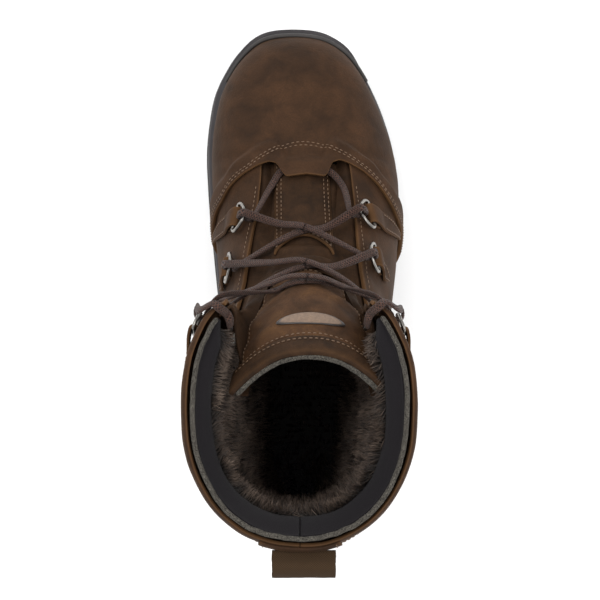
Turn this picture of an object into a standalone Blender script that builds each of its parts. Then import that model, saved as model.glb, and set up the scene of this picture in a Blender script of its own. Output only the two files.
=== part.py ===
"""An insulated lace-up hunting boot for the right foot. Toe along +Y, outer side of the foot +X, +Z up."""
import bpy
import bmesh
from functools import lru_cache
from math import atan2, cos, degrees, hypot, pi, radians, sin
from mathutils import Vector

for old in list(bpy.data.objects):
    bpy.data.objects.remove(old, do_unlink=True)

# ---- driving sizes, in millimetres ----
LENGTH_SCALE = 1.0          # 1 = EU 43: heel to toe of the sole is 305
WIDTH_SCALE = 1.0
HEIGHT_SCALE = 1.0
LEATHER = 2.0               # outer leather
STIFFENER = 1.0             # toe puff and heel counter
INSULATION = 2.4
LINING = 3.2                # fur and its backing
GAP = 0.4                   # room between two layers
SOLE_MARGIN = 6.5           # how far the sole stands out past the upper
LUG_DEPTH = 5.0
SLAB = 4.5                  # outsole above its lugs
WIRE = 2.0                  # D-ring wire diameter
RING_BAR = 16.0
RING_REACH = 10.5
TAB_LEATHER = 1.2
LACE_WIDTH = 5.0
LACE_THICK = 2.4
VAMP_LIFT = LEATHER + GAP + .2  # the vamp's rear edge lies on the quarters
LOOP_WIDTH = 33.0
LOOP_REACH = 17.0
INSOLE_RISE = (2.2, 4.0)    # lowest and highest face over the sole's top
FOOTBED_RISE = (4.4, 9.0)
SHANK_RISE = (0.4, 1.8)
SHANK_HALF = 8.0
CENTRE = Vector((.51, 151.87, 0))  # middle of the boot's box on the floor, the origin

# ---- the shape of the upper: fan of sections from the toe tip to the rim ----
# back or bottom (h, z), front or top (h, z), ridge x, inner half width, outer half width,
# height of the widest point, roundness below and above it
STATIONS = [
    (299.0, 30.0, 299.0, 30.0, -4.0, 4.0, -4.0, .42, 2.4, 2.2),
    (298.2, 18.0, 298.2, 38.5, -4.0, 15.5, 8.0, .50, 2.5, 2.2),
    (295.0, 17.0, 295.0, 48.5, -3.6, 23.5, 16.8, .47, 2.6, 2.2),
    (289.0, 16.0, 289.0, 57.5, -3.0, 30.3, 25.4, .44, 2.8, 2.2),
    (280.0, 15.0, 280.0, 65.5, -2.0, 37.5, 33.0, .42, 3.0, 2.2),
    (266.0, 14.0, 266.0, 73.5, -1.0, 45.0, 41.0, .40, 3.1, 2.2),
    (250.0, 13.0, 250.0, 80.5, 0.5, 48.8, 48.0, .39, 3.2, 2.2),
    (232.0, 12.0, 233.0, 88.0, 2.0, 50.8, 53.4, .38, 3.2, 2.2),
    (212.0, 11.5, 218.0, 95.5, 3.5, 50.6, 56.4, .37, 3.2, 2.15),
    (186.0, 12.0, 204.0, 105.0, 4.0, 49.4, 57.2, .37, 3.1, 2.1),
    (155.0, 13.5, 192.0, 116.5, 4.0, 47.6, 55.6, .37, 3.0, 2.1),
    (119.0, 15.5, 182.0, 128.5, 3.5, 45.6, 52.6, .39, 2.9, 2.1),
    (78.0, 17.0, 173.5, 141.0, 3.0, 44.6, 50.2, .42, 2.8, 2.15),
    (31.0, 18.5, 167.0, 153.0, 2.0, 45.4, 49.2, .45, 2.7, 2.2),
    (9.5, 40.0, 163.0, 164.0, 1.5, 47.6, 49.8, .46, 2.6, 2.25),
    (6.0, 65.0, 160.5, 175.0, 1.0, 50.6, 51.4, .47, 2.5, 2.3),
    (8.5, 98.0, 159.0, 186.0, 0.5, 54.2, 53.6, .48, 2.4, 2.35),
    (13.0, 134.0, 158.0, 196.0, 0.0, 57.6, 56.0, .49, 2.3, 2.4),
    (17.0, 168.0, 157.5, 205.0, 0.0, 60.0, 58.0, .50, 2.25, 2.4),
    (19.0, 200.0, 157.0, 212.0, 0.0, 59.6, 58.6, .50, 2.2, 2.4),
    (19.5, 213.0, 157.0, 213.0, 0.0, 58.5, 58.2, .50, 2.2, 2.4),
]
RIM = len(STATIONS) - 1
SOLE_TOP = [(-5, 34.5), (30, 34), (70, 33), (120, 30), (170, 26.5), (215, 24.5), (250, 25.5), (280, 28.5),
            (299, 32), (310, 34)]
GROUND = [(-5, 2.5), (8, 0), (84, 0), (96, 7), (120, 3), (140, 0), (236, 0), (270, 2.5), (298, 8.5), (310, 12)]

# ---- pattern edges: station along the boot against share of the way from ridge to feather line ----
VAMP_EDGE = {
    1: [(0, 8.2), (.10, 8.3), (.125, 8.0), (.15, 7.72), (.20, 7.62), (.25, 7.75), (.32, 8.0), (.40, 8.4),
        (.47, 8.85), (.56, 9.25), (.72, 9.55), (1, 9.9)],
    -1: [(0, 8.2), (.11, 8.3), (.14, 8.0), (.165, 7.75), (.21, 7.68), (.27, 7.8), (.36, 8.1), (.43, 8.4),
         (.51, 8.85), (.66, 9.25), (.80, 9.5), (1, 9.7)]}
EYESTAY = {
    1: [(7.0, .27), (9, .235), (10.7, .19), (12, .17), (13.5, .16), (15.3, .15), (17, .165), (20, .197)],
    -1: [(7.0, .27), (9, .245), (10.7, .22), (12, .19), (13.5, .165), (15.3, .15), (17, .165), (20, .203)]}
# D-rings from the instep up: station, share, width and length of the leather tab
RINGS = [
    (9.65, {1: .285, -1: .335}, 10.6, 46.0),
    (11.15, {1: .255, -1: .325}, 10.6, 26.0),
    (15.1, {1: .205, -1: .210}, 10.2, 24.0),
    (17.8, {1: .283, -1: .283}, 10.0, 20.0),
]
TONGUE_LINE = [(224, 88.4), (205, 100), (190, 111), (175, 127), (163, 145), (150, 166), (136, 190), (119, 214)]
TONGUE_HALF = [(0, 15.5), (.45, 16.5), (.6, 21), (.75, 30), (.88, 35.5), (1, 38.5)]
TONGUE_DROP = [(0, 2.5), (.4, 4), (.6, 8), (.8, 17), (1, 27)]
TONGUE_X = [(0, 1.0), (.5, 2.5), (1, 5.0)]
FLEX = .57                  # where the tongue's upper pad starts


def between(table, x):
    if x <= table[0][0]:
        return table[0][1]
    for (x0, y0), (x1, y1) in zip(table, table[1:]):
        if x <= x1:
            return y0 + (y1 - y0) * (x - x0) / (x1 - x0)
    return table[-1][1]


def flow(values, t):
    """Smooth value between evenly spaced ones."""
    i = min(int(t), len(values) - 2)
    f = t - i
    a, b, c, d = [values[min(max(k, 0), len(values) - 1)] for k in (i - 1, i, i + 1, i + 2)]
    return .5 * (2 * b + (c - a) * f + (2 * a - 5 * b + 4 * c - d) * f * f + (3 * b - a - 3 * c + d) * f ** 3)


COLUMNS = list(zip(*STATIONS))


@lru_cache(maxsize=None)
def section(s):
    return [flow(column, s) for column in COLUMNS]


def skin(s, angle, side):
    """A point of the upper's outer face: angle 90 is the ridge in front, -90 the back or the bottom."""
    s = min(max(s, 0), RIM)
    bh, bz, th, tz, ridge, inner, outer, widest, low, high = section(round(s, 5))
    tall = hypot(th - bh, tz - bz) or 1e-6
    uh, uz = (th - bh) / tall, (tz - bz) / tall
    half = outer - ridge if side > 0 else inner + ridge
    part = tall * (1 - widest) if angle > 0 else tall * widest
    round_off = high if angle > 0 else low
    a = radians(angle)
    reach = ((abs(cos(a)) / max(half, 1e-3)) ** round_off + (abs(sin(a)) / max(part, 1e-3)) ** round_off) \
        ** (-1 / round_off)
    up = tall * widest + reach * sin(a)
    return Vector(((ridge + side * reach * cos(a)) * WIDTH_SCALE, (bh + uh * up) * LENGTH_SCALE,
                   (bz + uz * up) * HEIGHT_SCALE))


def outward(s, angle, side):
    s = min(max(s, .02), RIM - .02)
    angle = min(max(angle, -89.5), 89.5)
    along = skin(s + .02, angle, side) - skin(s - .02, angle, side)
    round_way = skin(s, angle + .5, side) - skin(s, angle - .5, side)
    n = round_way.cross(along) * side
    return n.normalized() if n.length > 1e-9 else Vector((0, 1, 0))


def boot(s, angle, side, d=0.0):
    return skin(s, angle, side) + outward(s, angle, side) * d


def sole_top(h):
    return between(SOLE_TOP, h / LENGTH_SCALE) * HEIGHT_SCALE


def ground(h):
    return between(GROUND, h / LENGTH_SCALE)


@lru_cache(maxsize=None)
def foot_angle(s, side, d, rise):
    """The angle at which the layer d of this section meets the sole's top plus rise."""
    def over(a):
        p = boot(s, a, side, d)
        return p.z - sole_top(p.y) - rise
    if over(-89.8) > 0:
        return -89.8
    if over(90) < 0:
        return 90.0
    low, high = -89.8, 90.0
    for _ in range(22):
        middle = (low + high) / 2
        low, high = (low, middle) if over(middle) > 0 else (middle, high)
    return high


@lru_cache(maxsize=None)
def foot_table(side, d, rise):
    return [foot_angle(k / 4, side, d, rise) for k in range(4 * RIM + 1)]


@lru_cache(maxsize=None)
def first_station(d, rise):
    """Where the ridge of layer d rises past the sole's top at the toe."""
    low, high = 0.0, 4.0
    for _ in range(26):
        middle = (low + high) / 2
        p = boot(middle, 90, 1, d)
        low, high = (low, middle) if p.z > sole_top(p.y) + rise else (middle, high)
    return high


def on(s, t, side, d=0.0, rise=GAP):
    """Pattern coordinates to a point: share t runs from the ridge (0) to the feather line (1)."""
    if t > .97 or s < 3:
        low = foot_angle(round(s, 4), side, d, rise)
    else:
        table = foot_table(side, d, rise)
        k = min(int(s * 4), 4 * RIM - 1)
        low = table[k] + (table[k + 1] - table[k]) * (s * 4 - k)
    return boot(s, 90 - (90 - low) * t, side, d)


# ---- mesh helpers ----
MATERIALS = {}


def material(name, rgb, rough, metal=0.0):
    m = bpy.data.materials.new(name)
    m.use_nodes = True
    shader = m.node_tree.nodes["Principled BSDF"]
    shader.inputs["Base Color"].default_value = (*rgb, 1)
    shader.inputs["Roughness"].default_value = rough
    shader.inputs["Metallic"].default_value = metal
    MATERIALS[name] = m


for name, rgb, rough, metal in (
        ("nubuck", (.075, .042, .022), .8, 0), ("tongue_nubuck", (.055, .030, .016), .8, 0),
        ("rubber", (.035, .033, .033), .6, 0), ("foam_rubber", (.03, .03, .032), .7, 0),
        ("steel", (.35, .35, .36), .3, 1), ("board", (.35, .28, .18), .8, 0), ("felt", (.09, .085, .08), .95, 0),
        ("black_cloth", (.016, .015, .018), .9, 0), ("fur", (.022, .014, .012), .95, 0),
        ("wadding", (.6, .6, .58), .95, 0), ("foam", (.25, .22, .16), .9, 0), ("cord", (.075, .042, .034), .85, 0),
        ("webbing", (.045, .029, .018), .85, 0), ("patch", (.24, .15, .09), .5, 0),
        ("plastic", (.02, .02, .02), .4, 0)):
    material(name, rgb, rough, metal)


def solid(name, points, faces, finish, origin=None):
    """Points in millimetres from the heel and the floor, to one closed object in metres."""
    where = CENTRE if origin is None else origin
    mesh = bpy.data.meshes.new(name)
    mesh.from_pydata([(p - where) * .001 for p in points], [], faces)
    b = bmesh.new()
    b.from_mesh(mesh)
    bmesh.ops.remove_doubles(b, verts=b.verts, dist=.00001)
    bmesh.ops.dissolve_degenerate(b, edges=b.edges, dist=.000005)
    bmesh.ops.recalc_face_normals(b, faces=b.faces)
    if b.calc_volume(signed=True) < 0:
        bmesh.ops.reverse_faces(b, faces=b.faces)
    b.to_mesh(mesh)
    b.free()
    own = MATERIALS[finish].copy()
    own.name = name
    mesh.materials.append(own)
    made = bpy.data.objects.new(name, mesh)
    if origin is not None:
        made.location = (origin - CENTRE) * .001
    bpy.context.collection.objects.link(made)
    return made


def grid_faces(rows, columns, start=0):
    return [(start + i * columns + j, start + (i + 1) * columns + j, start + (i + 1) * columns + j + 1,
             start + i * columns + j + 1) for i in range(rows - 1) for j in range(columns - 1)]


def shell(name, outer, inner, finish, origin=None):
    """A closed sheet between two grids of the same size."""
    rows, columns = len(outer), len(outer[0])
    size = rows * columns
    faces = grid_faces(rows, columns) + [f[::-1] for f in grid_faces(rows, columns, size)]
    edge = [(0, j) for j in range(columns)] + [(i, columns - 1) for i in range(1, rows)]
    edge += [(rows - 1, j) for j in range(columns - 2, -1, -1)] + [(i, 0) for i in range(rows - 2, 0, -1)]
    for (i, j), (k, m) in zip(edge, edge[1:] + edge[:1]):
        a, b = i * columns + j, k * columns + m
        faces.append((a, b, b + size, a + size))
    return solid(name, [p for row in outer + inner for p in row], faces, finish, origin)


def tube(name, rings, finish, closed=False, origin=None):
    """A solid through rings of points, capped unless it closes on itself."""
    count = len(rings[0])
    faces = []
    for i in range(len(rings) if closed else len(rings) - 1):
        k = (i + 1) % len(rings)
        for j in range(count):
            m = (j + 1) % count
            faces.append((i * count + j, i * count + m, k * count + m, k * count + j))
    if not closed:
        faces += [tuple(range(count))[::-1], tuple((len(rings) - 1) * count + j for j in range(count))]
    return solid(name, [p for ring in rings for p in ring], faces, finish, origin)


def steps(n, ease=1.0):
    return [(i / n) ** ease for i in range(n + 1)]


# ---- layers of the upper ----
SKIN = (-LEATHER, 0.0)
STIFF = (-LEATHER - GAP - STIFFENER, -LEATHER - GAP)
WARM = (STIFF[0] - GAP - INSULATION, STIFF[0] - GAP)
FUR = (WARM[0] - GAP - .5 - LINING, WARM[0] - GAP - .5)
PAD = (WARM[0] - .8, -LEATHER - GAP - .8)
FACING = (PAD[0] - GAP - 1.0, PAD[0] - GAP)
HEM = .09                   # share of the quarter's front edge that the inner layers leave free


def front_piece(name, depth, finish, end, rows, columns, lift=None, rear=()):
    """A piece over the toe, from feather line to feather line: end(t, side) is its rear edge."""
    grids = []
    for d in (depth[1], depth[0]):
        start = first_station(d, GAP) + .003
        last = rear[0] if rear else 0.0
        grid = []
        for u in steps(rows, 1.5) + list(rear[1:]):
            row = []
            for side, share in [(-1, t) for t in reversed(columns)] + [(1, t) for t in columns[1:]]:
                stop = end(share, side)
                s = stop - u if len(grid) > rows else start + (stop - last - start) * u
                row.append(on(s, share, side, d + (lift(stop - s) if lift else 0.0)))
            grid.append(row)
        grids.append(grid)
    return shell(name, grids[0], grids[1], finish)


@lru_cache(maxsize=None)
def side_place(side, u, v):
    """Station and share of a place on one side: u from the vamp to the rim, v from the eyestay to the feather line."""
    share = v
    for _ in range(7):
        s = (vamp_end(max(share, .24), side) - .5) * (1 - u) + RIM * u
        share = between(EYESTAY[side], s) * (1 - v) + v
    return s, share


def side_piece(name, side, depth, finish, rows, columns):
    """A piece of one side. Its layers share one grid, so that they stay parallel."""
    grids = [[[on(*side_place(side, u, v), side, d) for v in columns] for u in rows] for d in (depth[1], depth[0])]
    return shell(name, grids[0], grids[1], finish)


def vamp_end(t, side):
    return between(VAMP_EDGE[side], t)


def lifted(back):
    f = min(max((.98 - back) / .36, 0), 1)
    return VAMP_LIFT * f * f * (3 - 2 * f)


VAMP_COLUMNS = [0, .08, .115, .13, .15, .20, .26, .32, .40, .48, .58, .65, .72, .79, .86, .93, 1]
# rows crowd where the heel turns up
ROWS = [0, .07, .14, .21, .27, .31, .34, .37, .40, .43, .47, .53, .61, .69, .77, .86, .93, 1]
COLUMNS_DOWN = steps(9)
BAND = ROWS.index(.86)      # the padded collar starts on this row
front_piece("vamp", SKIN, "nubuck", vamp_end, 9, VAMP_COLUMNS, lift=lifted, rear=(1.0, .88, .78, .64, .3, 0))
EVEN = steps(8)
front_piece("toe_puff", STIFF, "board", lambda t, side: 3.6, 6, EVEN)
inner_end = lambda t, side: min(7.0, vamp_end(t, side) - 1.0)
front_piece("insulation_vamp", WARM, "wadding", inner_end, 9, EVEN)
front_piece("lining_vamp", FUR, "fur", inner_end, 9, EVEN)
for side, label in ((1, "lateral"), (-1, "medial")):
    inner_rows = [-.035] + ROWS[:BAND] + [.853]
    side_piece(f"quarter_{label}", side, SKIN, "nubuck", ROWS, COLUMNS_DOWN)
    side_piece(f"insulation_{label}", side, WARM, "wadding", inner_rows, COLUMNS_DOWN[1:])
    side_piece(f"lining_{label}", side, FUR, "fur", inner_rows, COLUMNS_DOWN[1:])
    side_piece(f"collar_pad_{label}", side, PAD, "foam", ROWS[BAND:], [.055] + COLUMNS_DOWN[1:])
    side_piece(f"collar_facing_{label}", side, FACING, "black_cloth", ROWS[BAND:], [.055] + COLUMNS_DOWN[1:])
    side_piece(f"heel_counter_{label}", side, STIFF, "board", ROWS[8:13], COLUMNS_DOWN[5:])
    side_piece(f"heel_cap_{label}", side, (GAP, GAP + 1.6), "nubuck", ROWS[5:12], COLUMNS_DOWN[5:])


# leather strip over the back seam, above the heel cap
grids = [[[on(*side_place(side, u, v), side, d) for side, v in ((-1, 8 / 9), (-1, 1), (1, 1), (1, 8 / 9))]
          for u in [.54] + ROWS[12:]] for d in (GAP + 1.4, GAP)]
shell("backstay", grids[0], grids[1], "nubuck")


def frame_of(s, t, side, d):
    """A point on layer d with the directions along the boot, towards the ridge and outward."""
    here = on(s, t, side, d)
    along = (on(s + .05, t, side, d) - on(s - .05, t, side, d)).normalized()
    out = outward(s, 90 - (90 - foot_angle(round(s, 4), side, 0.0, GAP)) * t, side)
    up = out.cross(along).normalized() * -side
    if (on(s, t - .02, side, d) - here).dot(up) < 0:
        up = -up
    return here, along, up, up.cross(along).normalized() * (1 if up.cross(along).dot(out) > 0 else -1)


# ---- felt edge along the collar ----
rings = []
EDGE = [(side, between(EYESTAY[side], RIM) + .045) for side in (-1, 1)]
run = [(-1, EDGE[0][1] + (1 - EDGE[0][1]) * k / 12) for k in range(13)]
run += [(1, EDGE[1][1] + (1 - EDGE[1][1]) * k / 12) for k in range(11, -1, -1)]
for side, t in run:
    ring = []
    for k in range(8):
        a = 2 * pi * k / 8
        p = on(RIM, min(t, .9999), side, -4.4 + 2.6 * cos(a))
        ring.append(p + Vector((0, 0, GAP + 1.6 + 1.6 * sin(a))))
    rings.append(ring)
tube("collar_felt", rings, "felt")

# ---- tongue ----


def tongue(q, v, d=0.0):
    """Along the tongue q from its root to its top, across v from -1 to 1."""
    f = q * (len(TONGUE_LINE) - 1)
    h, z = (flow([p[k] for p in TONGUE_LINE], f) for k in (0, 1))
    e = .05
    h2, z2 = (flow([p[k] for p in TONGUE_LINE], min(f + e, len(TONGUE_LINE) - 1)) for k in (0, 1))
    h1, z1 = (flow([p[k] for p in TONGUE_LINE], max(f - e, 0)) for k in (0, 1))
    go = hypot(h2 - h1, z2 - z1)
    nh, nz = (z2 - z1) / go, (h1 - h2) / go
    half, drop = between(TONGUE_HALF, q), between(TONGUE_DROP, q)
    slope = atan2(2.2 * drop * abs(v) ** 1.2, half)
    depth = -drop * abs(v) ** 2.2 + d * cos(slope)
    x = between(TONGUE_X, q) + half * v + (1 if v > 0 else -1) * d * sin(slope)
    return Vector((x * WIDTH_SCALE, (h + nh * depth) * LENGTH_SCALE, (z + nz * depth) * HEIGHT_SCALE))


def tongue_piece(name, q0, q1, width, d0, d1, finish, rows, columns=6, origin=None):
    grids = [[[tongue(q0 + (q1 - q0) * i / rows, -width + 2 * width * j / columns, d)
               for j in range(columns + 1)] for i in range(rows + 1)] for d in (d1, d0)]
    return shell(name, grids[0], grids[1], finish, origin)


HINGE = tongue(FLEX, 0, -5)
tongue_piece("tongue_lower", 0, .50, 1.0, -1.6, 0, "tongue_nubuck", 7)
tongue_piece("tongue_lining_lower", 0, .52, .98, -5.4, -2.0, "fur", 7)
tongue_piece("tongue_flex", .51, FLEX - .005, 1.0, -1.6, 0, "tongue_nubuck", 2)
tongue_piece("tongue_pad", FLEX + .015, .955, .96, -6.4, -1.9, "foam", 6, 8, HINGE)
tongue_piece("tongue_upper", FLEX + .005, .90, 1.0, -1.5, 0, "tongue_nubuck", 6, 8, HINGE)
tongue_piece("tongue_band", .905, 1.0, 1.0, -1.5, 0, "tongue_nubuck", 2, 8, HINGE)
tongue_piece("tongue_lining_upper", FLEX + .015, .955, .96, -10.0, -6.8, "fur", 6, 8, HINGE)
tongue_piece("tongue_felt", .97, 1.0, .97, -8.4, -2.0, "felt", 1, 8, HINGE)



def label_ring(r, d):
    """A ring of the oval label on the tongue, which is left plain."""
    return [tongue(.775 + .042 * r * sin(2 * pi * k / 20), .05 + .384 * r * cos(2 * pi * k / 20), d)
            for k in range(20)]


LABEL_RINGS = [.02, .35, .67, 1]
tube("tongue_patch", [label_ring(r, GAP + .9) for r in LABEL_RINGS]
     + [label_ring(r, GAP) for r in reversed(LABEL_RINGS)], "patch", origin=HINGE)

# ---- gussets: the folded webs that join tongue and quarters ----


def sheet(name, grid, thick, finish, side):
    """A closed sheet of even thickness on a grid, its normals taken from the grid itself."""
    rows, columns = len(grid), len(grid[0])
    faces = [[], []]
    for i in range(rows):
        for row in faces:
            row.append([])
        for j in range(columns):
            a = grid[min(i + 1, rows - 1)][j] - grid[max(i - 1, 0)][j]
            b = grid[i][min(j + 1, columns - 1)] - grid[i][max(j - 1, 0)]
            n = a.cross(b).normalized() * thick / 2 * side
            faces[0][i].append(grid[i][j] + n)
            faces[1][i].append(grid[i][j] - n)
    return shell(name, faces[0], faces[1], finish)


for side, label in ((1, "lateral"), (-1, "medial")):
    grid = []
    for i in range(13):
        f = i / 12
        q = .03 + .83 * f
        edge = tongue(q, side * 1.0, -1.6)
        away = (tongue(q, side * 1.0) - tongue(q, side * .94)).normalized()
        near = edge + away * (1.5 + 1.2 * f)
        s = 8.35 + (16.4 - 8.35) * f ** .9
        t = between(EYESTAY[side], s)
        tip = on(s, t - .005, side, -LEATHER - GAP - 1.2 - .8 * f)
        far = on(s, t + .035, side, -LEATHER - GAP - 1.0 - .4 * f)
        sink = outward(s, 60, side) * -1.4 * (1 - 2.4 * f)
        row = [near.lerp(tip, k / 4) + sink * sin(pi * k / 4) ** 2 for k in range(5)] + [far]
        grid.append(row)
    sheet(f"gusset_{label}", grid, 1.0, "tongue_nubuck", side)

# ---- D-rings and their tabs ----
WRAP = 1.4 + TAB_LEATHER / 2
BAR_UP = GAP + TAB_LEATHER / 2 + WRAP
APEX = {}
for number, (s, shares, width, long) in enumerate(RINGS, 1):
    for side, label in ((1, "lateral"), (-1, "medial")):
        t0 = shares[side]
        # tab: under layer, turn round the bar, top layer
        path = [(8.0, GAP + .6), (4.0, GAP + .6), (0.0, GAP + .6)]
        path += [(-WRAP * cos(radians(a)), BAR_UP + WRAP * sin(radians(a))) for a in (-45, 0, 45)]
        path += [(0.0, BAR_UP + WRAP), (4.0, BAR_UP + WRAP - .8), (8.0, 3.2), (12.0, 2.0)]
        path += [(12 + (long - 12) * k / 4, GAP + .8) for k in range(1, 5)]
        unit = (on(s, t0 + .02, side) - on(s, t0 - .02, side)).length / .04
        outer, inner = [], []
        for i, (x, d) in enumerate(path):
            x0, d0 = path[max(i - 1, 0)]
            x1, d1 = path[min(i + 1, len(path) - 1)]
            go = hypot(x1 - x0, d1 - d0)
            nx, nd = -(d1 - d0) / go * TAB_LEATHER / 2, (x1 - x0) / go * TAB_LEATHER / 2
            taper = 1 - .45 * max(x - 14, 0) / max(long - 14, 1)
            span = width * taper
            for row, sign in ((outer, 1), (inner, -1)):
                line = []
                for j in range(3):
                    t = t0 + (x + sign * nx) / unit
                    here = on(s, t, side)
                    reach = (on(s + .1, t, side) - on(s - .1, t, side)).length / .2
                    line.append(on(s + (j / 2 - .5) * span / reach, t, side, d + sign * nd))
                row.append(line)
        shell(f"ring_tab_{number}_{label}", outer, inner, "nubuck")
        here, along, up, out = frame_of(s, t0, side, BAR_UP)
        tilt = radians(9)
        reach_way = (up * cos(tilt) + out * sin(tilt)).normalized()
        normal = along.cross(reach_way).normalized()
        half, corner = RING_BAR / 2, 2.2
        loop = [(-half + corner, 0), (half - corner, 0), (half - .6, .6), (half, corner), (half * .95, corner + 2.2)]
        arc = [(half * .80 * cos(radians(a)), 5.2 + (RING_REACH - 5.2) * sin(radians(a))) for a in
               (22, 52, 78, 102, 128, 158)]
        loop += arc + [(-half * .95, corner + 2.2), (-half, corner), (-half + .6, .6)]
        rings = []
        for i, (a, b) in enumerate(loop):
            a0, b0 = loop[i - 1]
            a1, b1 = loop[(i + 1) % len(loop)]
            go = (along * (a1 - a0) + reach_way * (b1 - b0)).normalized()
            sideways = go.cross(normal)
            centre = here + along * a + reach_way * b
            rings.append([centre + (sideways * cos(2 * pi * k / 7) + normal * sin(2 * pi * k / 7)) * WIRE / 2
                          for k in range(7)])
        tube(f"d_ring_{number}_{label}", rings, "steel", closed=True, origin=here)
        APEX[number, side] = (here + reach_way * RING_REACH, along, reach_way, normal * (1 if normal.dot(out) > 0
                                                                                       else -1))

# ---- pull loop at the back of the collar ----
seam = Vector((0, 19.4 * LENGTH_SCALE - GAP * 2 - 2.3, 206 * HEIGHT_SCALE))
path = [(0, 1.2), (-3, 1.8), (-7, 4.2), (-11, 5.0), (-14.5, 3.8), (-LOOP_REACH + .5, 1.4), (-LOOP_REACH, 0),
        (-LOOP_REACH + .5, -1.6), (-14.5, -4.4), (-11, -6.2), (-7, -5.8), (-3, -3.0), (0, -1.2)]
outer, inner = [], []
for i, (y, z) in enumerate(path):
    y0, z0 = path[max(i - 1, 0)]
    y1, z1 = path[min(i + 1, len(path) - 1)]
    go = hypot(y1 - y0, z1 - z0)
    ny, nz = -(z1 - z0) / go * .9, (y1 - y0) / go * .9
    for row, sign in ((outer, -1), (inner, 1)):
        row.append([seam + Vector((x, y + sign * ny, z + sign * nz)) for x in
                    (-LOOP_WIDTH / 2, -LOOP_WIDTH / 6, LOOP_WIDTH / 6, LOOP_WIDTH / 2)])
shell("pull_loop", outer, inner, "webbing", seam)

# ---- lace: one cord from the inner pocket round the rings to the outer pocket ----
TURN = WIRE / 2 + .75 + LACE_THICK / 2


def ring_turn(number, side):
    """The lace comes in under the wire, turns up through the ring and goes back over it."""
    at, along, reach_way, out = APEX[number, side]
    low = out * -TURN
    places = [at + reach_way * 7 + low * 1.1, at + reach_way * 2.5 + low]
    places += [at + (reach_way * -sin(radians(a)) + out * -cos(radians(a))) * TURN for a in (0, 60, 120, 180)]
    places += [at + reach_way * 2.5 - low, at + reach_way * 7 - low]
    return [(p, out, along) for p in places]


def over_tongue(q, v, d):
    normal = (tongue(q, v, 1) - tongue(q, v, 0)).normalized()
    return (tongue(q, v, d), normal, None)


def half_lace(side, high):
    """From under the bridge out to this side, then up: high lifts its strand at each crossing."""
    other = -side
    low_d, high_d = 2.4, 2.4 + LACE_THICK + .7
    d1, d2, d3 = [high_d if h else low_d for h in high]
    x0 = .12 if side > 0 else .13
    run = [(on(7.95, x0, side, -1.1), outward(7.95, 60, side), None),
           (on(8.6, .19, side, -.6), outward(8.6, 55, side), None)]
    run += ring_turn(1, side)
    run += [over_tongue(.325, side * .75, max(d1, 2.6)), over_tongue(.350, side * .0, d1),
            over_tongue(.40, other * .8, max(d1 - 1.2, 2.2))]
    run += ring_turn(2, other)
    run += [over_tongue(.540, other * .8, max(d2, 2.8)), over_tongue(.575, 0, d2),
            over_tongue(.625, side * .8, max(d2 - 1, 2.4))]
    run += ring_turn(3, side)
    run += [over_tongue(.68, side * .65, max(d3, 3.2)), over_tongue(.685, side * .3, d3 + .3),
            over_tongue(.69, 0, d3), over_tongue(.695, other * .3, d3 + .3), over_tongue(.70, other * .65, d3 + .6)]
    e4 = between(EYESTAY[other], 17.2)
    run += [(on(17.2, e4, other, 3.4), outward(17.2, 50, other), None)]
    run += ring_turn(4, other)[1:-1]
    t = between(EYESTAY[other], RIM)
    up = Vector((0, 0, 1))
    run += [(on(18.9, t + .040, other, 5.8), outward(18.9, 45, other), None),
            (on(19.8, t + .012, other, 3.8), outward(19.8, 50, other), None),
            (on(RIM, t + .008, other, -1.0) + up * (GAP + 2.3 + LACE_THICK / 2), up, None),
            (on(19.7, t + .006, other, -6.0), outward(19.7, 50, other) * -1, None),
            (on(18.9, t + .010, other, -9.0), outward(18.9, 50, other) * -1, None),
            (on(18.1, t + .020, other, -12.0), outward(18.1, 50, other) * -1, None)]
    return run


first = half_lace(-1, (True, False, True))
second = half_lace(1, (False, True, False))
middle = [(on(7.95, 0, 1, -1.1), outward(7.95, 90, 1), None)]
course = first[::-1] + middle + second
knots = [p for p, _, _ in course]


def cord_rings(course, spacing, width, thick, sides=8):
    knots = [p for p, _, _ in course]
    rings, before = [], None
    for i in range(len(knots) - 1):
        n = max(1, round((knots[i + 1] - knots[i]).length / spacing))
        for k in range(n + (i == len(knots) - 2)):
            f = k / n
            here, ahead = (Vector([flow([p[c] for p in knots], i + min(g, 1)) for c in range(3)])
                           for g in (f, f + .05))
            behind = Vector([flow([p[c] for p in knots], max(i + f - .05, 0)) for c in range(3)])
            go = (ahead - behind).normalized()
            a, b = course[i], course[i + 1]
            if a[2] is not None and b[2] is not None:
                across = a[2].copy()
            else:
                across = go.cross(a[1].lerp(b[1], f))
                if across.length < .35 and before is not None:
                    across = before
            if before is not None and across.dot(before) < 0:
                across = -across
            across = (across - go * across.dot(go)).normalized()
            if before is not None:
                across = (across * .6 + before * .4)
                across = (across - go * across.dot(go)).normalized()
            before = across
            up = go.cross(across)
            rings.append([here + across * width / 2 * cos(2 * pi * j / sides)
                          + up * thick / 2 * sin(2 * pi * j / sides) for j in range(sides)])
    return rings


cord = cord_rings(course, 7.0, LACE_WIDTH, LACE_THICK * 1.04)
tube("lace", cord, "cord")
for ring, after, label in ((cord[0], cord[1], "medial"), (cord[-1], cord[-2], "lateral")):
    end = sum(ring, Vector()) / 8
    back = sum(after, Vector()) / 8
    go = (end - back).normalized()
    down = (go * .4 + Vector((0, 0, -1))).normalized()
    across = down.orthogonal().normalized()
    other = down.cross(across)
    base = end + go * .9
    tube(f"aglet_{label}", [[base + down * step + (across * cos(2 * pi * k / 8) + other * sin(2 * pi * k / 8)) * 1.3
                             for k in range(8)] for step in (0, 14)], "plastic")


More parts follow.
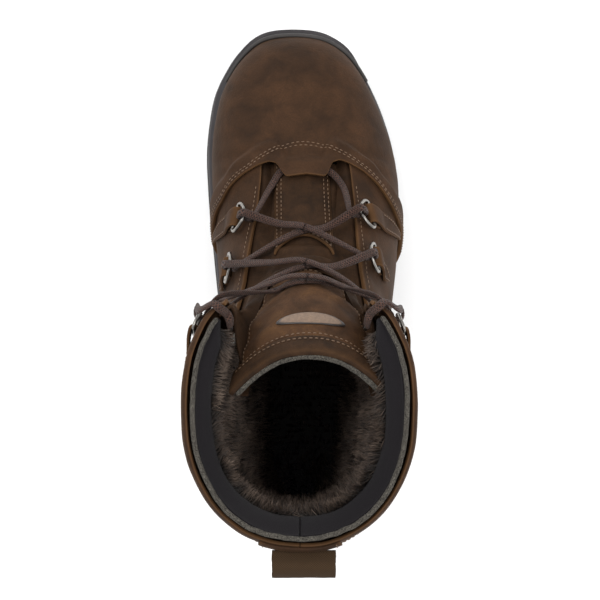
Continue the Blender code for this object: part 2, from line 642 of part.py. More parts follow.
# ---- sole ----
def outline(d, rise, count=30):
    """Rungs (h, inner x, outer x) across the foot on layer d, at this height over the sole's top."""
    start = first_station(d, rise) + .002
    low, high = 10.0, 15.0
    for _ in range(22):
        middle = (low + high) / 2
        low, high = (middle, high) if foot_angle(middle, 1, d, rise) > -89.7 else (low, middle)
    lines = {}
    for side in (-1, 1):
        line = []
        for k in range(81):
            f = (1 - cos(pi * k / 80)) / 2
            s = start + (low - start) * f ** 1.4
            p = boot(s, foot_angle(round(s, 5), side, d, rise), side, d)
            line.append((p.y, p.x))
        lines[side] = sorted(line)
    first = (lines[1][0][0] + lines[-1][0][0]) / 2
    last = (lines[1][-1][0] + lines[-1][-1][0]) / 2
    rungs = []
    for k in range(count + 1):
        h = first + (last - first) * (1 - cos(pi * k / count)) / 2
        a, b = between(lines[-1], h), between(lines[1], h)
        if k in (0, count):
            a = b = (a + b) / 2
        rungs.append((h, a, b))
    return rungs


def slab(name, levels, finish):
    """A solid through levels of rungs; each level pairs an outline with a height by h, bottom first."""
    points, faces = [], []
    n = len(levels[0][0])
    for rungs, height in levels:
        for h, a, b in rungs:
            points += [Vector((a, h, height(h))), Vector((b, h, height(h)))]
    for k in range(len(levels)):
        for i in range(n - 1):
            p = (k * n + i) * 2
            if k == 0:
                faces.append((p, p + 2, p + 3, p + 1))
            if k == len(levels) - 1:
                faces.append((p, p + 1, p + 3, p + 2))
            else:
                q = p + 2 * n
                faces += [(p, q, q + 2, p + 2), (p + 1, p + 3, q + 3, q + 1)]
                if i == 0:
                    faces.append((p, p + 1, q + 1, q))
                if i == n - 2:
                    faces.append((p + 3, p + 2, q + 2, q + 3))
    return solid(name, points, faces, finish)


def grown(rungs, inner, outer, ends=0.0):
    """The rungs with more margin on each side, fading out towards heel and toe."""
    n = len(rungs) - 1
    made = []
    for k, (h, a, b) in enumerate(rungs):
        f = sin(pi * k / n) ** .5 if 0 < k < n else 0
        made.append((h + ends * (2 * k / n - 1), a - inner * f, b + outer * f))
    return made


def slab_top(h):
    return max(LUG_DEPTH + SLAB, ground(h) + SLAB)


edge = outline(SOLE_MARGIN, 0.0)
slab("midsole", [(grown(edge, 2.0, -.6), lambda h: slab_top(h) + .3),
                 (grown(edge, .6, -1.4), lambda h: (slab_top(h) + sole_top(h)) / 2),
                 (grown(edge, 1.6, -.8), lambda h: sole_top(h))], "foam_rubber")
outsole = slab("outsole", [(grown(edge, .8, -1.8, -1.5), ground),
                           (grown(edge, 2.6, 0), lambda h: ground(h) + LUG_DEPTH * .8),
                           (grown(edge, 2.6, 0), slab_top)], "rubber")


def bars(name, boxes):
    """Cutters for the lug channels: centre, half sizes and turn of each."""
    points, faces = [], []
    for centre, half, turn in boxes:
        start = len(points)
        for x in (-1, 1):
            for y in (-1, 1):
                for z in (-1, 1):
                    px, py = x * half[0], y * half[1]
                    points.append(Vector((centre[0] + px * cos(turn) - py * sin(turn),
                                          centre[1] + px * sin(turn) + py * cos(turn), centre[2] + z * half[2])))
        faces += [tuple(start + i for i in f) for f in
                  ((0, 1, 3, 2), (4, 6, 7, 5), (0, 4, 5, 1), (2, 3, 7, 6), (0, 2, 6, 4), (1, 5, 7, 3))]
    cutter = solid(name, points, faces, "rubber")
    cutter.hide_render = True
    cutter.display_type = "WIRE"
    cut = outsole.modifiers.new(name, "BOOLEAN")
    cut.operation, cut.solver, cut.object = "DIFFERENCE", "EXACT", cutter


channels = []
for k, h in enumerate((25, 43, 61, 146, 165, 184, 203, 222, 241, 259, 276)):
    h *= LENGTH_SCALE
    low = ground(h)
    for x, turn in ((-40, .22), (44, -.22)):
        channels.append(((x * WIDTH_SCALE, h, low + LUG_DEPTH / 2 - 1.5), (27 * WIDTH_SCALE, 2.4, LUG_DEPTH / 2 + 1.5),
                         turn))
bars("channels_across", channels)
lines = []
for x in (-13.5, 17.0):
    for h0, h1 in ((4, 82), (142, 232)):
        lines.append(((x * WIDTH_SCALE, (h0 + h1) / 2 * LENGTH_SCALE, LUG_DEPTH / 2 - 1.5),
                      (2.2, (h1 - h0) / 2 * LENGTH_SCALE, LUG_DEPTH / 2 + 1.4), 0))
bars("channels_along", lines)

inside = FUR[0] - 2.0
for name, rises, finish in (("insole_board", INSOLE_RISE, "board"), ("footbed", FOOTBED_RISE, "fur")):
    slab(name, [(grown(outline(inside, r), -1.2, -1.2, -3.0), lambda h, r=r: sole_top(h) + r) for r in rises], finish)
shank = [(h * LENGTH_SCALE, (3 - SHANK_HALF) * WIDTH_SCALE, (3 + SHANK_HALF) * WIDTH_SCALE)
         for h in range(45, 186, 20)]
slab("shank", [(shank, lambda h, r=r: sole_top(h) + r) for r in SHANK_RISE], "steel")

# rubber rand round the toe
grids = []
for d in (GAP + 2.0, GAP):
    grid = []
    for k in range(-10, 11):
        row = []
        for rise in (.4, 4.5, 8.5):
            start = first_station(d, rise) + .002
            s = start + (4.4 - start) * abs(k / 10) ** 1.5
            side = 1 if k > 0 else -1
            row.append(boot(s, foot_angle(round(s, 5), side, d, rise), side, d))
        grid.append(row)
    grids.append(grid)
shell("toe_rand", grids[0], grids[1], "rubber")
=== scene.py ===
import random
from functools import lru_cache
from math import atan2, cos, floor, hypot, pi, radians, sin

import bmesh
import bpy
import numpy as np
from mathutils import Matrix, Vector, noise


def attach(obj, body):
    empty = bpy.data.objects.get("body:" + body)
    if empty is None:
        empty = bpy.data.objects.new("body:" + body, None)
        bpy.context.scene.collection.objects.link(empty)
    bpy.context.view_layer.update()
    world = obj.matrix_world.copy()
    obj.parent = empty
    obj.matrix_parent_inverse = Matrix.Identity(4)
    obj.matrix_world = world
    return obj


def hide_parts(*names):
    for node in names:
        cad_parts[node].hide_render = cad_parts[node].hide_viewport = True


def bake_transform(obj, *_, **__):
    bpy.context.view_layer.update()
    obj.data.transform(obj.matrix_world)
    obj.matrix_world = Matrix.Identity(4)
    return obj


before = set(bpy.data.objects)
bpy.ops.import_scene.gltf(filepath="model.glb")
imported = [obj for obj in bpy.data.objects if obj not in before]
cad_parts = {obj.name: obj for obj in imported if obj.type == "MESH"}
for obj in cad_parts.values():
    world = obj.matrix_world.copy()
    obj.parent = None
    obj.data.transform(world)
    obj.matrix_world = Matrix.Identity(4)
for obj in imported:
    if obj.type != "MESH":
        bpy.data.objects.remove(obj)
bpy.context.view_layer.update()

random.seed(11)
sides = {1: "Lateral", -1: "Medial"}
nodeSides = {1: "lateral", -1: "medial"}

# ---- shape of the boot, in millimetres from the heel and the floor: the same surface as the solids ----
shape = {"gap": .4, "lugDepth": 5.0, "slab": 4.5, "wire": 2.0, "ringBar": 16.0, "ringReach": 10.5,
         "laceWidth": 4.6, "laceThick": 1.9, "laceClearance": 2.4, "flex": .57, "loopWidth": 33.0}
originInShape = Vector((.51, 151.87, 0))
# back or bottom (h, z), front or top (h, z), ridge x, inner and outer half width, height of the widest point,
# roundness below and above it; from the toe tip to the rim
stations = [
    (299.0, 30.0, 299.0, 30.0, -4.0, 4.0, -4.0, .42, 2.4, 2.2),
    (298.2, 18.0, 298.2, 38.5, -4.0, 15.5, 8.0, .50, 2.5, 2.2),
    (295.0, 17.0, 295.0, 48.5, -3.6, 23.5, 16.8, .47, 2.6, 2.2),
    (289.0, 16.0, 289.0, 57.5, -3.0, 30.3, 25.4, .44, 2.8, 2.2),
    (280.0, 15.0, 280.0, 65.5, -2.0, 37.5, 33.0, .42, 3.0, 2.2),
    (266.0, 14.0, 266.0, 73.5, -1.0, 45.0, 41.0, .40, 3.1, 2.2),
    (250.0, 13.0, 250.0, 80.5, 0.5, 48.8, 48.0, .39, 3.2, 2.2),
    (232.0, 12.0, 233.0, 88.0, 2.0, 50.8, 53.4, .38, 3.2, 2.2),
    (212.0, 11.5, 218.0, 95.5, 3.5, 50.6, 56.4, .37, 3.2, 2.15),
    (186.0, 12.0, 204.0, 105.0, 4.0, 49.4, 57.2, .37, 3.1, 2.1),
    (155.0, 13.5, 192.0, 116.5, 4.0, 47.6, 55.6, .37, 3.0, 2.1),
    (119.0, 15.5, 182.0, 128.5, 3.5, 45.6, 52.6, .39, 2.9, 2.1),
    (78.0, 17.0, 173.5, 141.0, 3.0, 44.6, 50.2, .42, 2.8, 2.15),
    (31.0, 18.5, 167.0, 153.0, 2.0, 45.4, 49.2, .45, 2.7, 2.2),
    (9.5, 40.0, 163.0, 164.0, 1.5, 47.6, 49.8, .46, 2.6, 2.25),
    (6.0, 65.0, 160.5, 175.0, 1.0, 50.6, 51.4, .47, 2.5, 2.3),
    (8.5, 98.0, 159.0, 186.0, 0.5, 54.2, 53.6, .48, 2.4, 2.35),
    (13.0, 134.0, 158.0, 196.0, 0.0, 57.6, 56.0, .49, 2.3, 2.4),
    (17.0, 168.0, 157.5, 205.0, 0.0, 60.0, 58.0, .50, 2.25, 2.4),
    (19.0, 200.0, 157.0, 212.0, 0.0, 59.6, 58.6, .50, 2.2, 2.4),
    (19.5, 213.0, 157.0, 213.0, 0.0, 58.5, 58.2, .50, 2.2, 2.4)]
rim = len(stations) - 1
soleTopLine = [(-5, 34.5), (30, 34), (70, 33), (120, 30), (170, 26.5), (215, 24.5), (250, 25.5), (280, 28.5),
               (299, 32), (310, 34)]
groundLine = [(-5, 2.5), (8, 0), (84, 0), (96, 7), (120, 3), (140, 0), (236, 0), (270, 2.5), (298, 8.5),
              (310, 12)]
# rear edge of the vamp as (share of the way from ridge to feather line, station), and front edge of the
# quarters as (station, share)
vampEdge = {
    1: [(0, 8.2), (.10, 8.3), (.125, 8.0), (.15, 7.72), (.20, 7.62), (.25, 7.75), (.32, 8.0), (.40, 8.4),
        (.47, 8.85), (.56, 9.25), (.72, 9.55), (1, 9.9)],
    -1: [(0, 8.2), (.11, 8.3), (.14, 8.0), (.165, 7.75), (.21, 7.68), (.27, 7.8), (.36, 8.1), (.43, 8.4),
         (.51, 8.85), (.66, 9.25), (.80, 9.5), (1, 9.7)]}
eyestay = {
    1: [(7.0, .27), (9, .235), (10.7, .19), (12, .17), (13.5, .16), (15.3, .15), (17, .165), (20, .197)],
    -1: [(7.0, .27), (9, .245), (10.7, .22), (12, .19), (13.5, .165), (15.3, .15), (17, .165), (20, .203)]}
# each ring's station, its share on each side, and the width and length of its tab
ringPlaces = [(9.65, {1: .285, -1: .335}, 10.6, 46.0), (11.15, {1: .255, -1: .325}, 10.6, 26.0),
              (15.1, {1: .205, -1: .210}, 10.2, 24.0), (17.8, {1: .283, -1: .283}, 10.0, 20.0)]
tongueLine = [(224, 88.4), (205, 100), (190, 111), (175, 127), (163, 145), (150, 166), (136, 190), (119, 214)]
tongueHalf = [(0, 15.5), (.45, 16.5), (.6, 21), (.75, 30), (.88, 36.5), (1, 41.0)]
tongueDrop = [(0, 2.5), (.4, 4), (.6, 8), (.8, 17), (1, 27)]
tongueX = [(0, 1.0), (.5, 2.5), (1, 5.0)]


def between(table, x):
    if x <= table[0][0]:
        return table[0][1]
    for (x0, y0), (x1, y1) in zip(table, table[1:]):
        if x <= x1:
            return y0 + (y1 - y0) * (x - x0) / (x1 - x0)
    return table[-1][1]


def soft(edge0, edge1, x):  # 0 before edge0, 1 after edge1, smooth between
    f = min(max((x - edge0) / (edge1 - edge0), 0), 1)
    return f * f * (3 - 2 * f)


def cubic(a, b, c, d, f):  # smooth value at f from 0 to 1 between b and c
    return .5 * (2 * b + (c - a) * f + (2 * a - 5 * b + 4 * c - d) * f * f + (3 * b - a - 3 * c + d) * f ** 3)


def flow(values, t):  # smooth value between evenly spaced ones
    i, last = min(int(t), len(values) - 2), len(values) - 1
    return cubic(*(values[min(max(k, 0), last)] for k in (i - 1, i, i + 1, i + 2)), t - i)


def flowPoint(points, t):  # the same for each coordinate of evenly spaced points
    return [flow(column, t) for column in zip(*points)]


def rounded(table, x, width):  # the table's line with its corners rounded over this width
    weights = (1, 2, 3, 4, 5, 4, 3, 2, 1)
    return sum(between(table, x + width * (k / 4 - 1)) * w for k, w in enumerate(weights)) / sum(weights)


def folded(v):  # v from 0 to 1 over both sides: the side, and the share from the ridge to that side's edge
    return (1, 2 * v - 1) if v > .5 else (-1, 1 - 2 * v)


@lru_cache(maxsize=None)
def section(s):
    return flowPoint(stations, s)


def skin(s, angle, side):  # outer face of the upper: 90 is the ridge in front, -90 the back or the bottom
    s = min(max(s, 0), rim)
    bh, bz, th, tz, ridge, inner, outer, widest, low, high = section(round(s, 4))
    tall = hypot(th - bh, tz - bz) or 1e-6
    half = outer - ridge if side > 0 else inner + ridge
    part = tall * (1 - widest) if angle > 0 else tall * widest
    power = high if angle > 0 else low
    a = radians(angle)
    sideways, upward = abs(cos(a)) / max(half, 1e-3), abs(sin(a)) / max(part, 1e-3)
    reach = (sideways ** power + upward ** power) ** (-1 / power)
    up = (tall * widest + reach * sin(a)) / tall
    return Vector((ridge + side * reach * cos(a), bh + (th - bh) * up, bz + (tz - bz) * up))


def outward(s, angle, side):
    s = min(max(s, .02), rim - .02)
    angle = min(max(angle, -89.5), 89.5)
    along = skin(s + .02, angle, side) - skin(s - .02, angle, side)
    roundWay = skin(s, angle + .5, side) - skin(s, angle - .5, side)
    n = roundWay.cross(along) * side
    return n.normalized() if n.length > 1e-9 else Vector((0, 1, 0))


def boot(s, angle, side, d=0.0):
    return skin(s, angle, side) + outward(s, angle, side) * d


def soleTop(h):
    return between(soleTopLine, h)


def ground(h):
    return between(groundLine, h)


@lru_cache(maxsize=None)
def footAngle(s, side, d, rise):  # where layer d of this section meets the sole's top plus rise
    def over(a):
        p = boot(s, a, side, d)
        return p.z - soleTop(p.y) - rise
    if over(-89.8) > 0:
        return -89.8
    if over(90) < 0:
        return 90.0
    low, high = -89.8, 90.0
    for _ in range(20):
        middle = (low + high) / 2
        low, high = (low, middle) if over(middle) > 0 else (middle, high)
    return high


@lru_cache(maxsize=None)
def footTable(side, d, rise):
    return [footAngle(k / 8, side, d, rise) for k in range(8 * rim + 1)]


@lru_cache(maxsize=None)
def firstStation(d, rise):  # where the ridge of layer d rises past the sole's top at the toe
    low, high = 0.0, 4.0
    for _ in range(26):
        middle = (low + high) / 2
        p = boot(middle, 90, 1, d)
        low, high = (low, middle) if p.z > soleTop(p.y) + rise else (middle, high)
    return high


def lowAngle(s, side):  # where the upper's outer face meets the feather line
    if s < 3:
        return footAngle(round(s, 3), side, 0.0, shape["gap"])
    table = footTable(side, 0.0, shape["gap"])
    k = min(int(s * 8), 8 * rim - 1)
    return table[k] + (table[k + 1] - table[k]) * (s * 8 - k)


# a pattern place to a point: station s, and share t from the ridge (0) to the feather line or back seam (1)
def on(s, t, side, d=0.0):
    return boot(s, 90 - (90 - lowAngle(s, side)) * t, side, d)


def normalOn(s, t, side):
    return outward(s, 90 - (90 - lowAngle(s, side)) * t, side)


def tongue(q, v, d=0.0):  # along the tongue q from its root to its top, across v from -1 to 1
    last = len(tongueLine) - 1
    h, z = flowPoint(tongueLine, q * last)
    at = min(max(q * last, .05), last - .05)
    (h1, z1), (h2, z2) = flowPoint(tongueLine, at - .05), flowPoint(tongueLine, at + .05)
    go = hypot(h2 - h1, z2 - z1)
    half, drop = between(tongueHalf, q), between(tongueDrop, q)
    slope = atan2(2.2 * drop * abs(v) ** 1.2, half)
    depth = -drop * abs(v) ** 2.2 + d * cos(slope)
    x = between(tongueX, q) + half * v + (1 if v > 0 else -1) * d * sin(slope)
    return Vector((x, h + (z2 - z1) / go * depth, z + (h1 - h2) / go * depth))


def ripple(p, size, seed=0):  # smooth noise from -1 to 1 with hills of this size in millimetres
    return noise.noise(p / size + Vector((seed * 7.3, seed * 3.1, seed * 5.7)))


print("shape ready")


# ---- materials ----
def linear(code):  # sRGB hex to linear colour
    parts = [int(code[k:k + 2], 16) / 255 for k in (1, 3, 5)]
    return tuple(c / 12.92 if c <= .04045 else ((c + .055) / 1.055) ** 2.4 for c in parts) + (1,)


# a node with its settings, the links or values of its inputs, and its colour stops
def add(tree, kind, inputs=None, stops=None, **settings):
    made = tree.nodes.new("ShaderNode" + kind)
    for k, (place, code) in enumerate(stops or []):
        elements = made.color_ramp.elements
        stop = elements[k] if k < 1 else elements.new(place) if k < len(stops) - 1 else elements[-1]
        stop.position, stop.color = place, linear(code)
    for key, value in settings.items():
        setattr(made, key, value)
    for key, value in (inputs or {}).items():
        if isinstance(value, bpy.types.NodeSocket):
            tree.links.new(value, made.inputs[key])
        else:
            made.inputs[key].default_value = value
    return made


def material(name, look, *facts):  # look gives the links and the constants of the shader's inputs
    made = bpy.data.materials.new(name)
    made.use_nodes = True
    tree = made.node_tree
    tree.nodes.clear()
    shader = add(tree, "BsdfPrincipled", look(tree, *facts))
    add(tree, "OutputMaterial", {"Surface": shader.outputs[0]})
    return made


def grain(tree, scale, detail, kind="TexNoise", out="Fac", **more):  # a texture with 1 / scale m cells
    where = (tree.nodes.get("Texture Coordinate") or add(tree, "TexCoord")).outputs["Object"]
    return add(tree, kind, {"Vector": where, "Scale": scale, "Detail": detail} | more).outputs[out]


def perMm(size):
    return 1 / (size * .001)


def ramp(tree, factor, *stops):
    return add(tree, "ValToRGB", {"Fac": factor}, stops=stops).outputs["Color"]


def mixed(tree, factor, *colours):  # between two colours, each a hex or a socket
    first, second = (linear(c) if isinstance(c, str) else c for c in colours)
    return add(tree, "Mix", {"Factor": factor, 6: first, 7: second}, data_type="RGBA").outputs[2]


def bumped(tree, height, strength, distance, **under):
    facts = {"Height": height, "Strength": strength, "Distance": distance}
    return add(tree, "Bump", facts | under).outputs[0]


def reckoned(tree, operation, *values):  # a step of arithmetic
    return add(tree, "Math", dict(enumerate(values)), operation=operation).outputs[0]


def spread(tree, value, low, high, **to):  # from low and high to 0 and 1, or to other ends
    return add(tree, "MapRange", {"Value": value, "From Min": low, "From Max": high} | to).outputs[0]


def clothAxes(tree):  # the two ways of the UV map, which is in millimetres on cloth
    return add(tree, "SeparateXYZ", {"Vector": add(tree, "UVMap", uv_map="cloth").outputs["UV"]}).outputs[:2]


# Oiled nubuck: cowhide sanded on its grain side. A short nap scatters light, so it is matt with a soft sheen,
# and the oil leaves it darker in places and pale where it is bent or rubbed.
def nubuck(tree, look):
    patches = grain(tree, perMm(look["patchMm"]), 4.0, Roughness=.6, Distortion=.4)
    nap = grain(tree, perMm(look["napMm"]), 3.0, Roughness=.7)
    pores = grain(tree, perMm(look["poreMm"]), 0.0, "TexVoronoi", "Distance")
    worn = add(tree, "Attribute", attribute_name="wear").outputs["Fac"]
    tone = ramp(tree, patches, (.32, look["dark"]), (.5, look["base"]), (.72, look["light"]))
    bump = bumped(tree, nap, .35, .0003)
    bump = bumped(tree, pores, .25, .0004, Normal=bump)
    return {"Base Color": mixed(tree, worn, mixed(tree, nap, look["dark"], tone), look["rubbed"]),
            "Roughness": look["rough"], "Specular IOR Level": .14, "Sheen Weight": .04,
            "Sheen Roughness": .45, "Sheen Tint": linear("#b98a60"),
            "Normal": bumped(tree, patches, .35, .0012, Normal=bump)}


# Moulded rubber: the mould's spark texture makes it matt, with a weak broad highlight, and dust lies on it
def rubber(tree, code, grainMm, rough):
    dusty = mixed(tree, grain(tree, 60.0, 5.0), code, "#6a6664")
    return {"Base Color": mixed(tree, .7, dusty, code), "Specular IOR Level": .18, "Roughness": rough,
            "IOR": 1.52, "Normal": bumped(tree, grain(tree, perMm(grainMm), 4.0), .5, .0003)}


# Nickel-plated steel wire: dull silver with brighter worn places
def platedSteel(tree):
    cloud = grain(tree, 400.0, 5.0)
    return {"Base Color": mixed(tree, cloud, "#5a5754", "#a5a19b"), "Metallic": 1.0,
            "Roughness": spread(tree, cloud, 0.0, 1.0, **{"To Min": .22, "To Max": .42})}


# Flat braid of polyester: bundles cross at a slant, with painted light on each crown and painted shade between
def braidedLace(tree):
    x, y = clothAxes(tree)
    ridges = []
    for slant in (1, -1):
        line = reckoned(tree, "ADD", y, reckoned(tree, "MULTIPLY", x, 1.15 * slant))
        ridges.append(reckoned(tree, "SINE", reckoned(tree, "MULTIPLY", line, 2 * pi / 1.5)))
    height = spread(tree, reckoned(tree, "MAXIMUM", *ridges), -1.0, 1.0)
    # the ridge height gives painted light on the crowns and painted shade in the grooves, times a random tone
    paintedLightShadeAndTone = reckoned(tree, "MULTIPLY", height, grain(tree, 900.0, 2.0))
    return {"Base Color": ramp(tree, paintedLightShadeAndTone, (.10, "#0d0604"), (.62, "#4f362c")), "Roughness": .62,
            "Specular IOR Level": .2, "Sheen Weight": .05, "Normal": bumped(tree, height, .9, .0009)}


# Plain woven cloth: two sets of threads a millimetre or so apart, with painted shade in the dips between them
def wovenCloth(tree, dark, light, threadMm):
    turns = [reckoned(tree, "MULTIPLY", axis, 2 * pi / threadMm) for axis in clothAxes(tree)]
    waves = [reckoned(tree, "SINE", turn) for turn in turns]
    height = spread(tree, reckoned(tree, "MULTIPLY", *waves), -1.0, 1.0)
    # the colour follows the threads' relief: painted shade in the dips, painted light on the crowns
    return {"Base Color": mixed(tree, height, dark, light), "Roughness": .9, "Specular IOR Level": .12,
            "Sheen Weight": .03, "Normal": bumped(tree, height, .5, .0003)}


# Pressed wool felt: grey fibres lying every way, with pale flecks
def woolFelt(tree):
    fibre = grain(tree, 1600.0, 6.0, Roughness=.75, Distortion=1.5)
    return {"Base Color": ramp(tree, fibre, (.42, "#100e0d"), (.70, "#7a756c")), "Roughness": .95,
            "Specular IOR Level": .08, "Sheen Weight": .03, "Normal": bumped(tree, fibre, .9, .0008)}


# Pile of wool and polyester: brown-grey strand tips, painted shade near black at the root, and a weak shine
def pileFur(tree):
    tip = mixed(tree, spread(tree, grain(tree, 130.0, 3.0), .35, .7), "#2a1f19", "#6b5b4f")
    # along each tuft: painted shade at the root, deep in the pile, and the fur's own brown-grey at the tip
    return {"Base Color": mixed(tree, clothAxes(tree)[1], "#060504", tip), "Roughness": .6,
            "Specular IOR Level": .25, "Sheen Weight": .04}


# Label leather with a burnished copper face and a dark painted rim: its "wear" attribute is 1 at the rim
def labelLeather(tree):
    face = grain(tree, 700.0, 5.0)
    rimPaint = add(tree, "Attribute", attribute_name="wear").outputs["Fac"]
    return {"Base Color": mixed(tree, rimPaint, mixed(tree, face, "#3d2d22", "#7f6650"), "#1c1512"),
            "Roughness": .42, "Normal": bumped(tree, face, .3, .0004)}


# Bonded polyester thread: a smooth, slightly shiny ply
def sewingThread(tree):
    return {"Base Color": mixed(tree, grain(tree, 2500.0, 2.0), "#3d2c1f", "#75593f"), "Roughness": .5}


# Fibre goods inside the boot: tangled fibres give a mottled matt surface
def plainFibre(tree, dark, light, fibreMm):
    fibre = grain(tree, perMm(fibreMm), 5.0, Roughness=.7)
    return {"Base Color": ramp(tree, fibre, (.35, dark), (.7, light)), "Roughness": .95,
            "Normal": bumped(tree, fibre, .6, .0006)}


finishes = {
    "upper": material("oiledNubuck", nubuck, {
        "dark": "#26180d", "base": "#392515", "light": "#4a311e", "rubbed": "#624529", "patchMm": 17,
        "napMm": .9, "poreMm": 1.3, "rough": .78}),
    "tongue": material("softNubuck", nubuck, {
        "dark": "#20140a", "base": "#332112", "light": "#432d1b", "rubbed": "#624529", "patchMm": 11,
        "napMm": .8, "poreMm": 1.1, "rough": .82}),
    "tongueTop": material("paddedNubuck", nubuck, {
        "dark": "#2d1d10", "base": "#4a3220", "light": "#634529", "rubbed": "#7d5d3c", "patchMm": 14,
        "napMm": .9, "poreMm": 1.2, "rough": .8}),
    "outsole": material("mouldedRubber", rubber, "#211f1e", .5, .62),
    "midsole": material("mouldedFoamRubber", rubber, "#2d2b2e", .7, .7),
    "steel": material("platedSteel", platedSteel),
    "lace": material("braidedPolyester", braidedLace),
    "facing": material("wovenNylonFacing", wovenCloth, "#0d0b0d", "#1f1c1f", .9),
    "webbing": material("wovenWebbing", wovenCloth, "#1c130c", "#40301f", 1.3),
    "felt": material("pressedWoolFelt", woolFelt),
    "fur": material("woolPile", pileFur),
    "label": material("burnishedLabelLeather", labelLeather),
    "thread": material("bondedThread", sewingThread),
    "board": material("pressedFibreBoard", plainFibre, "#6f5d43", "#a08a68", 1.5),
    "wadding": material("needledWadding", plainFibre, "#b9b7b0", "#dcdad4", 2.5),
    "film": material("shrunkPlasticFilm", rubber, "#191513", .3, .35)}
print("materials ready")


# ---- making pieces ----
insideBoot = Vector((0, 95, 95))


def toFrame(p):
    return (p - originInShape) * .001


def meshFrom(name, b):
    mesh = bpy.data.meshes.new(name)
    b.to_mesh(mesh)
    b.free()
    return mesh


def linked(name, data):
    made = bpy.data.objects.new(name, data)
    bpy.context.scene.collection.objects.link(made)
    return made


# a grid bent into place: place(u, v) gives a point in millimetres for u and v from 0 to 1, and size is what
# the UV map holds along and across. Its faces look away from the point inside, or to it when inward.
def bentGrid(uCount, vCount, place, inside=insideBoot, wrapped=False, size=(1, 1), wear=None, inward=False):
    b = bmesh.new()
    bmesh.ops.create_grid(b, x_segments=uCount, y_segments=vCount, size=.5)
    uv = b.loops.layers.uv.new("cloth")
    worn = b.verts.layers.float.new("wear")
    for f in b.faces:
        f.smooth = True
        for loop in f.loops:
            loop[uv].uv = ((loop.vert.co.x + .5) * size[0], (loop.vert.co.y + .5) * size[1])
    for v in b.verts:
        u, w = min(max(v.co.x + .5, 0), 1), min(max(v.co.y + .5, 0), 1)
        v.co = toFrame(place(u, w))
        v[worn] = wear(u, w) if wear else 0.0
    b.faces.ensure_lookup_table()
    middle = b.faces[len(b.faces) // 2 + uCount // 2]
    middle.normal_update()
    outside = (middle.calc_center_median() - toFrame(inside)).dot(middle.normal)
    if wrapped:
        bmesh.ops.remove_doubles(b, verts=b.verts, dist=.000002)
    for turned in (outside < 0, inward):
        if turned:
            bmesh.ops.reverse_faces(b, faces=b.faces)
    return b


# node names the solids that the piece stands for, with spaces between; thick and edge are in millimetres
def piece(name, b, finish, body="boot", node="", slot=None, thick=0, edge=0, offset=-1):
    made = linked(name, meshFrom(name, b))
    made.data.materials.append(finishes[finish])
    if thick:
        wall = made.modifiers.new("Solidify", "SOLIDIFY")
        wall.thickness, wall.offset = thick * .001, offset
    if edge:
        turn = made.modifiers.new("Bevel", "BEVEL")
        turn.width, turn.segments, turn.limit_method, turn.angle_limit = edge * .001, 2, "ANGLE", radians(50)
    if body:
        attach(made, body)
    for each in node.split():
        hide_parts(each)
    return made


# copies of one small mesh, each at its own matrix
def scattered(template, places):
    rest = np.array([v.co for v in template.vertices])
    b = bmesh.new()
    for place in places:
        m = np.array(place)
        template.vertices.foreach_set("co", (rest @ m[:3, :3].T + m[:3, 3]).astype(np.float32).ravel())
        b.from_mesh(template)
    template.vertices.foreach_set("co", rest.astype(np.float32).ravel())
    return b


def smallMesh(name, build):
    b = bmesh.new()
    build(b)
    for f in b.faces:
        f.smooth = True
    return meshFrom(name, b)


def axes(here, go, up):  # a matrix with x along go and z near up
    x = go.normalized()
    y = up.cross(x).normalized()
    z = x.cross(y)
    return Matrix.Translation(toFrame(here)) @ Matrix((x, y, z)).transposed().to_4x4()


stitch = {"long": 2.1, "wide": .62, "pitch": 2.9}
stitchMesh = smallMesh("stitch", lambda b: bmesh.ops.create_uvsphere(
    b, u_segments=6, v_segments=5, radius=.5,
    matrix=Matrix.Diagonal((stitch["long"] * .001, stitch["wide"] * .001, stitch["wide"] * .001, 1))))


# places of stitches along lines, each a function of f from 0 to 1 that gives a point and the way out there
def stitchRow(lines, pitch=stitch["pitch"]):
    places = []
    for at in lines:
        track = [at(k / 160) for k in range(161)]
        walked, due = 0.0, .5
        for (p, n), (q, _) in zip(track, track[1:]):
            step = (q - p).length
            while walked + step > due and step > 0:
                here = p.lerp(q, (due - walked) / step)
                places.append(axes(here + n * .12, q - p, n))
                due += pitch
            walked += step
    return places


# ---- upper ----
vamp = {"arcTop": 7.02, "arcFall": 8.1, "rows": 96, "columns": 150, "lift": 2.6}


def vampStop(t, side):
    return rounded(vampEdge[side], t, .012)


def vampLift(back):  # the rear edge lies on the quarters
    return vamp["lift"] * soft(0, 1, (.98 - back) / .36)


def leatherWaver(p, size, deep):  # how far real leather strays from a smooth face
    return deep * ripple(p, size, 1) + .4 * deep * ripple(p, size / 3, 2)


def vampPlace(u, v):
    side, t = folded(v)
    t = t ** 1.25
    stop, start = vampStop(t, side), firstStation(0.0, shape["gap"]) + .003
    s = start + (stop - start) * (1 - (1 - u) ** 1.5)
    p = on(s, t, side)
    edgeRoll = -.5 * soft(.05, 0, stop - s)
    crease = .5 * soft(6.2, 7.6, s) * sin(s * 9 + 2 * sin(t * 5)) * soft(.9, .2, t) * soft(0, .5, stop - s)
    d = vampLift(stop - s) + edgeRoll + crease + leatherWaver(p, 30, .35)
    return p + normalOn(s, t, side) * d


piece("vampLeather", bentGrid(vamp["rows"], vamp["columns"], vampPlace, Vector((0, 200, 40)),
                              wear=lambda u, v: .55 * soft(.965, 1, u) + .18 * soft(.12, 0, u)),
      "upper", node="vamp", slot="nubuck", thick=1.9, edge=.45)


def vampSeam(back):
    def at(f):
        side, t = folded(f)
        stop = vampStop(t, side)
        s = min(stop - .09, vamp["arcTop"] + vamp["arcFall"] * t * t) - back
        n = normalOn(s, t, side)
        return on(s, t, side, vampLift(stop - s)) + n * leatherWaver(on(s, t, side), 30, .35), n
    return at


def quarterPlace(side, u, v):  # station and share, u from vamp to rim and v from eyestay to back seam
    share = v
    for _ in range(5):
        s = (vampStop(max(share, .24), side) - .5) * (1 - u) + rim * u
        share = rounded(eyestay[side], s, .3) * (1 - v) + v
    return s, share


quarter = {"rows": 150, "columns": 90, "band": .86, "collarPuff": 2.2}


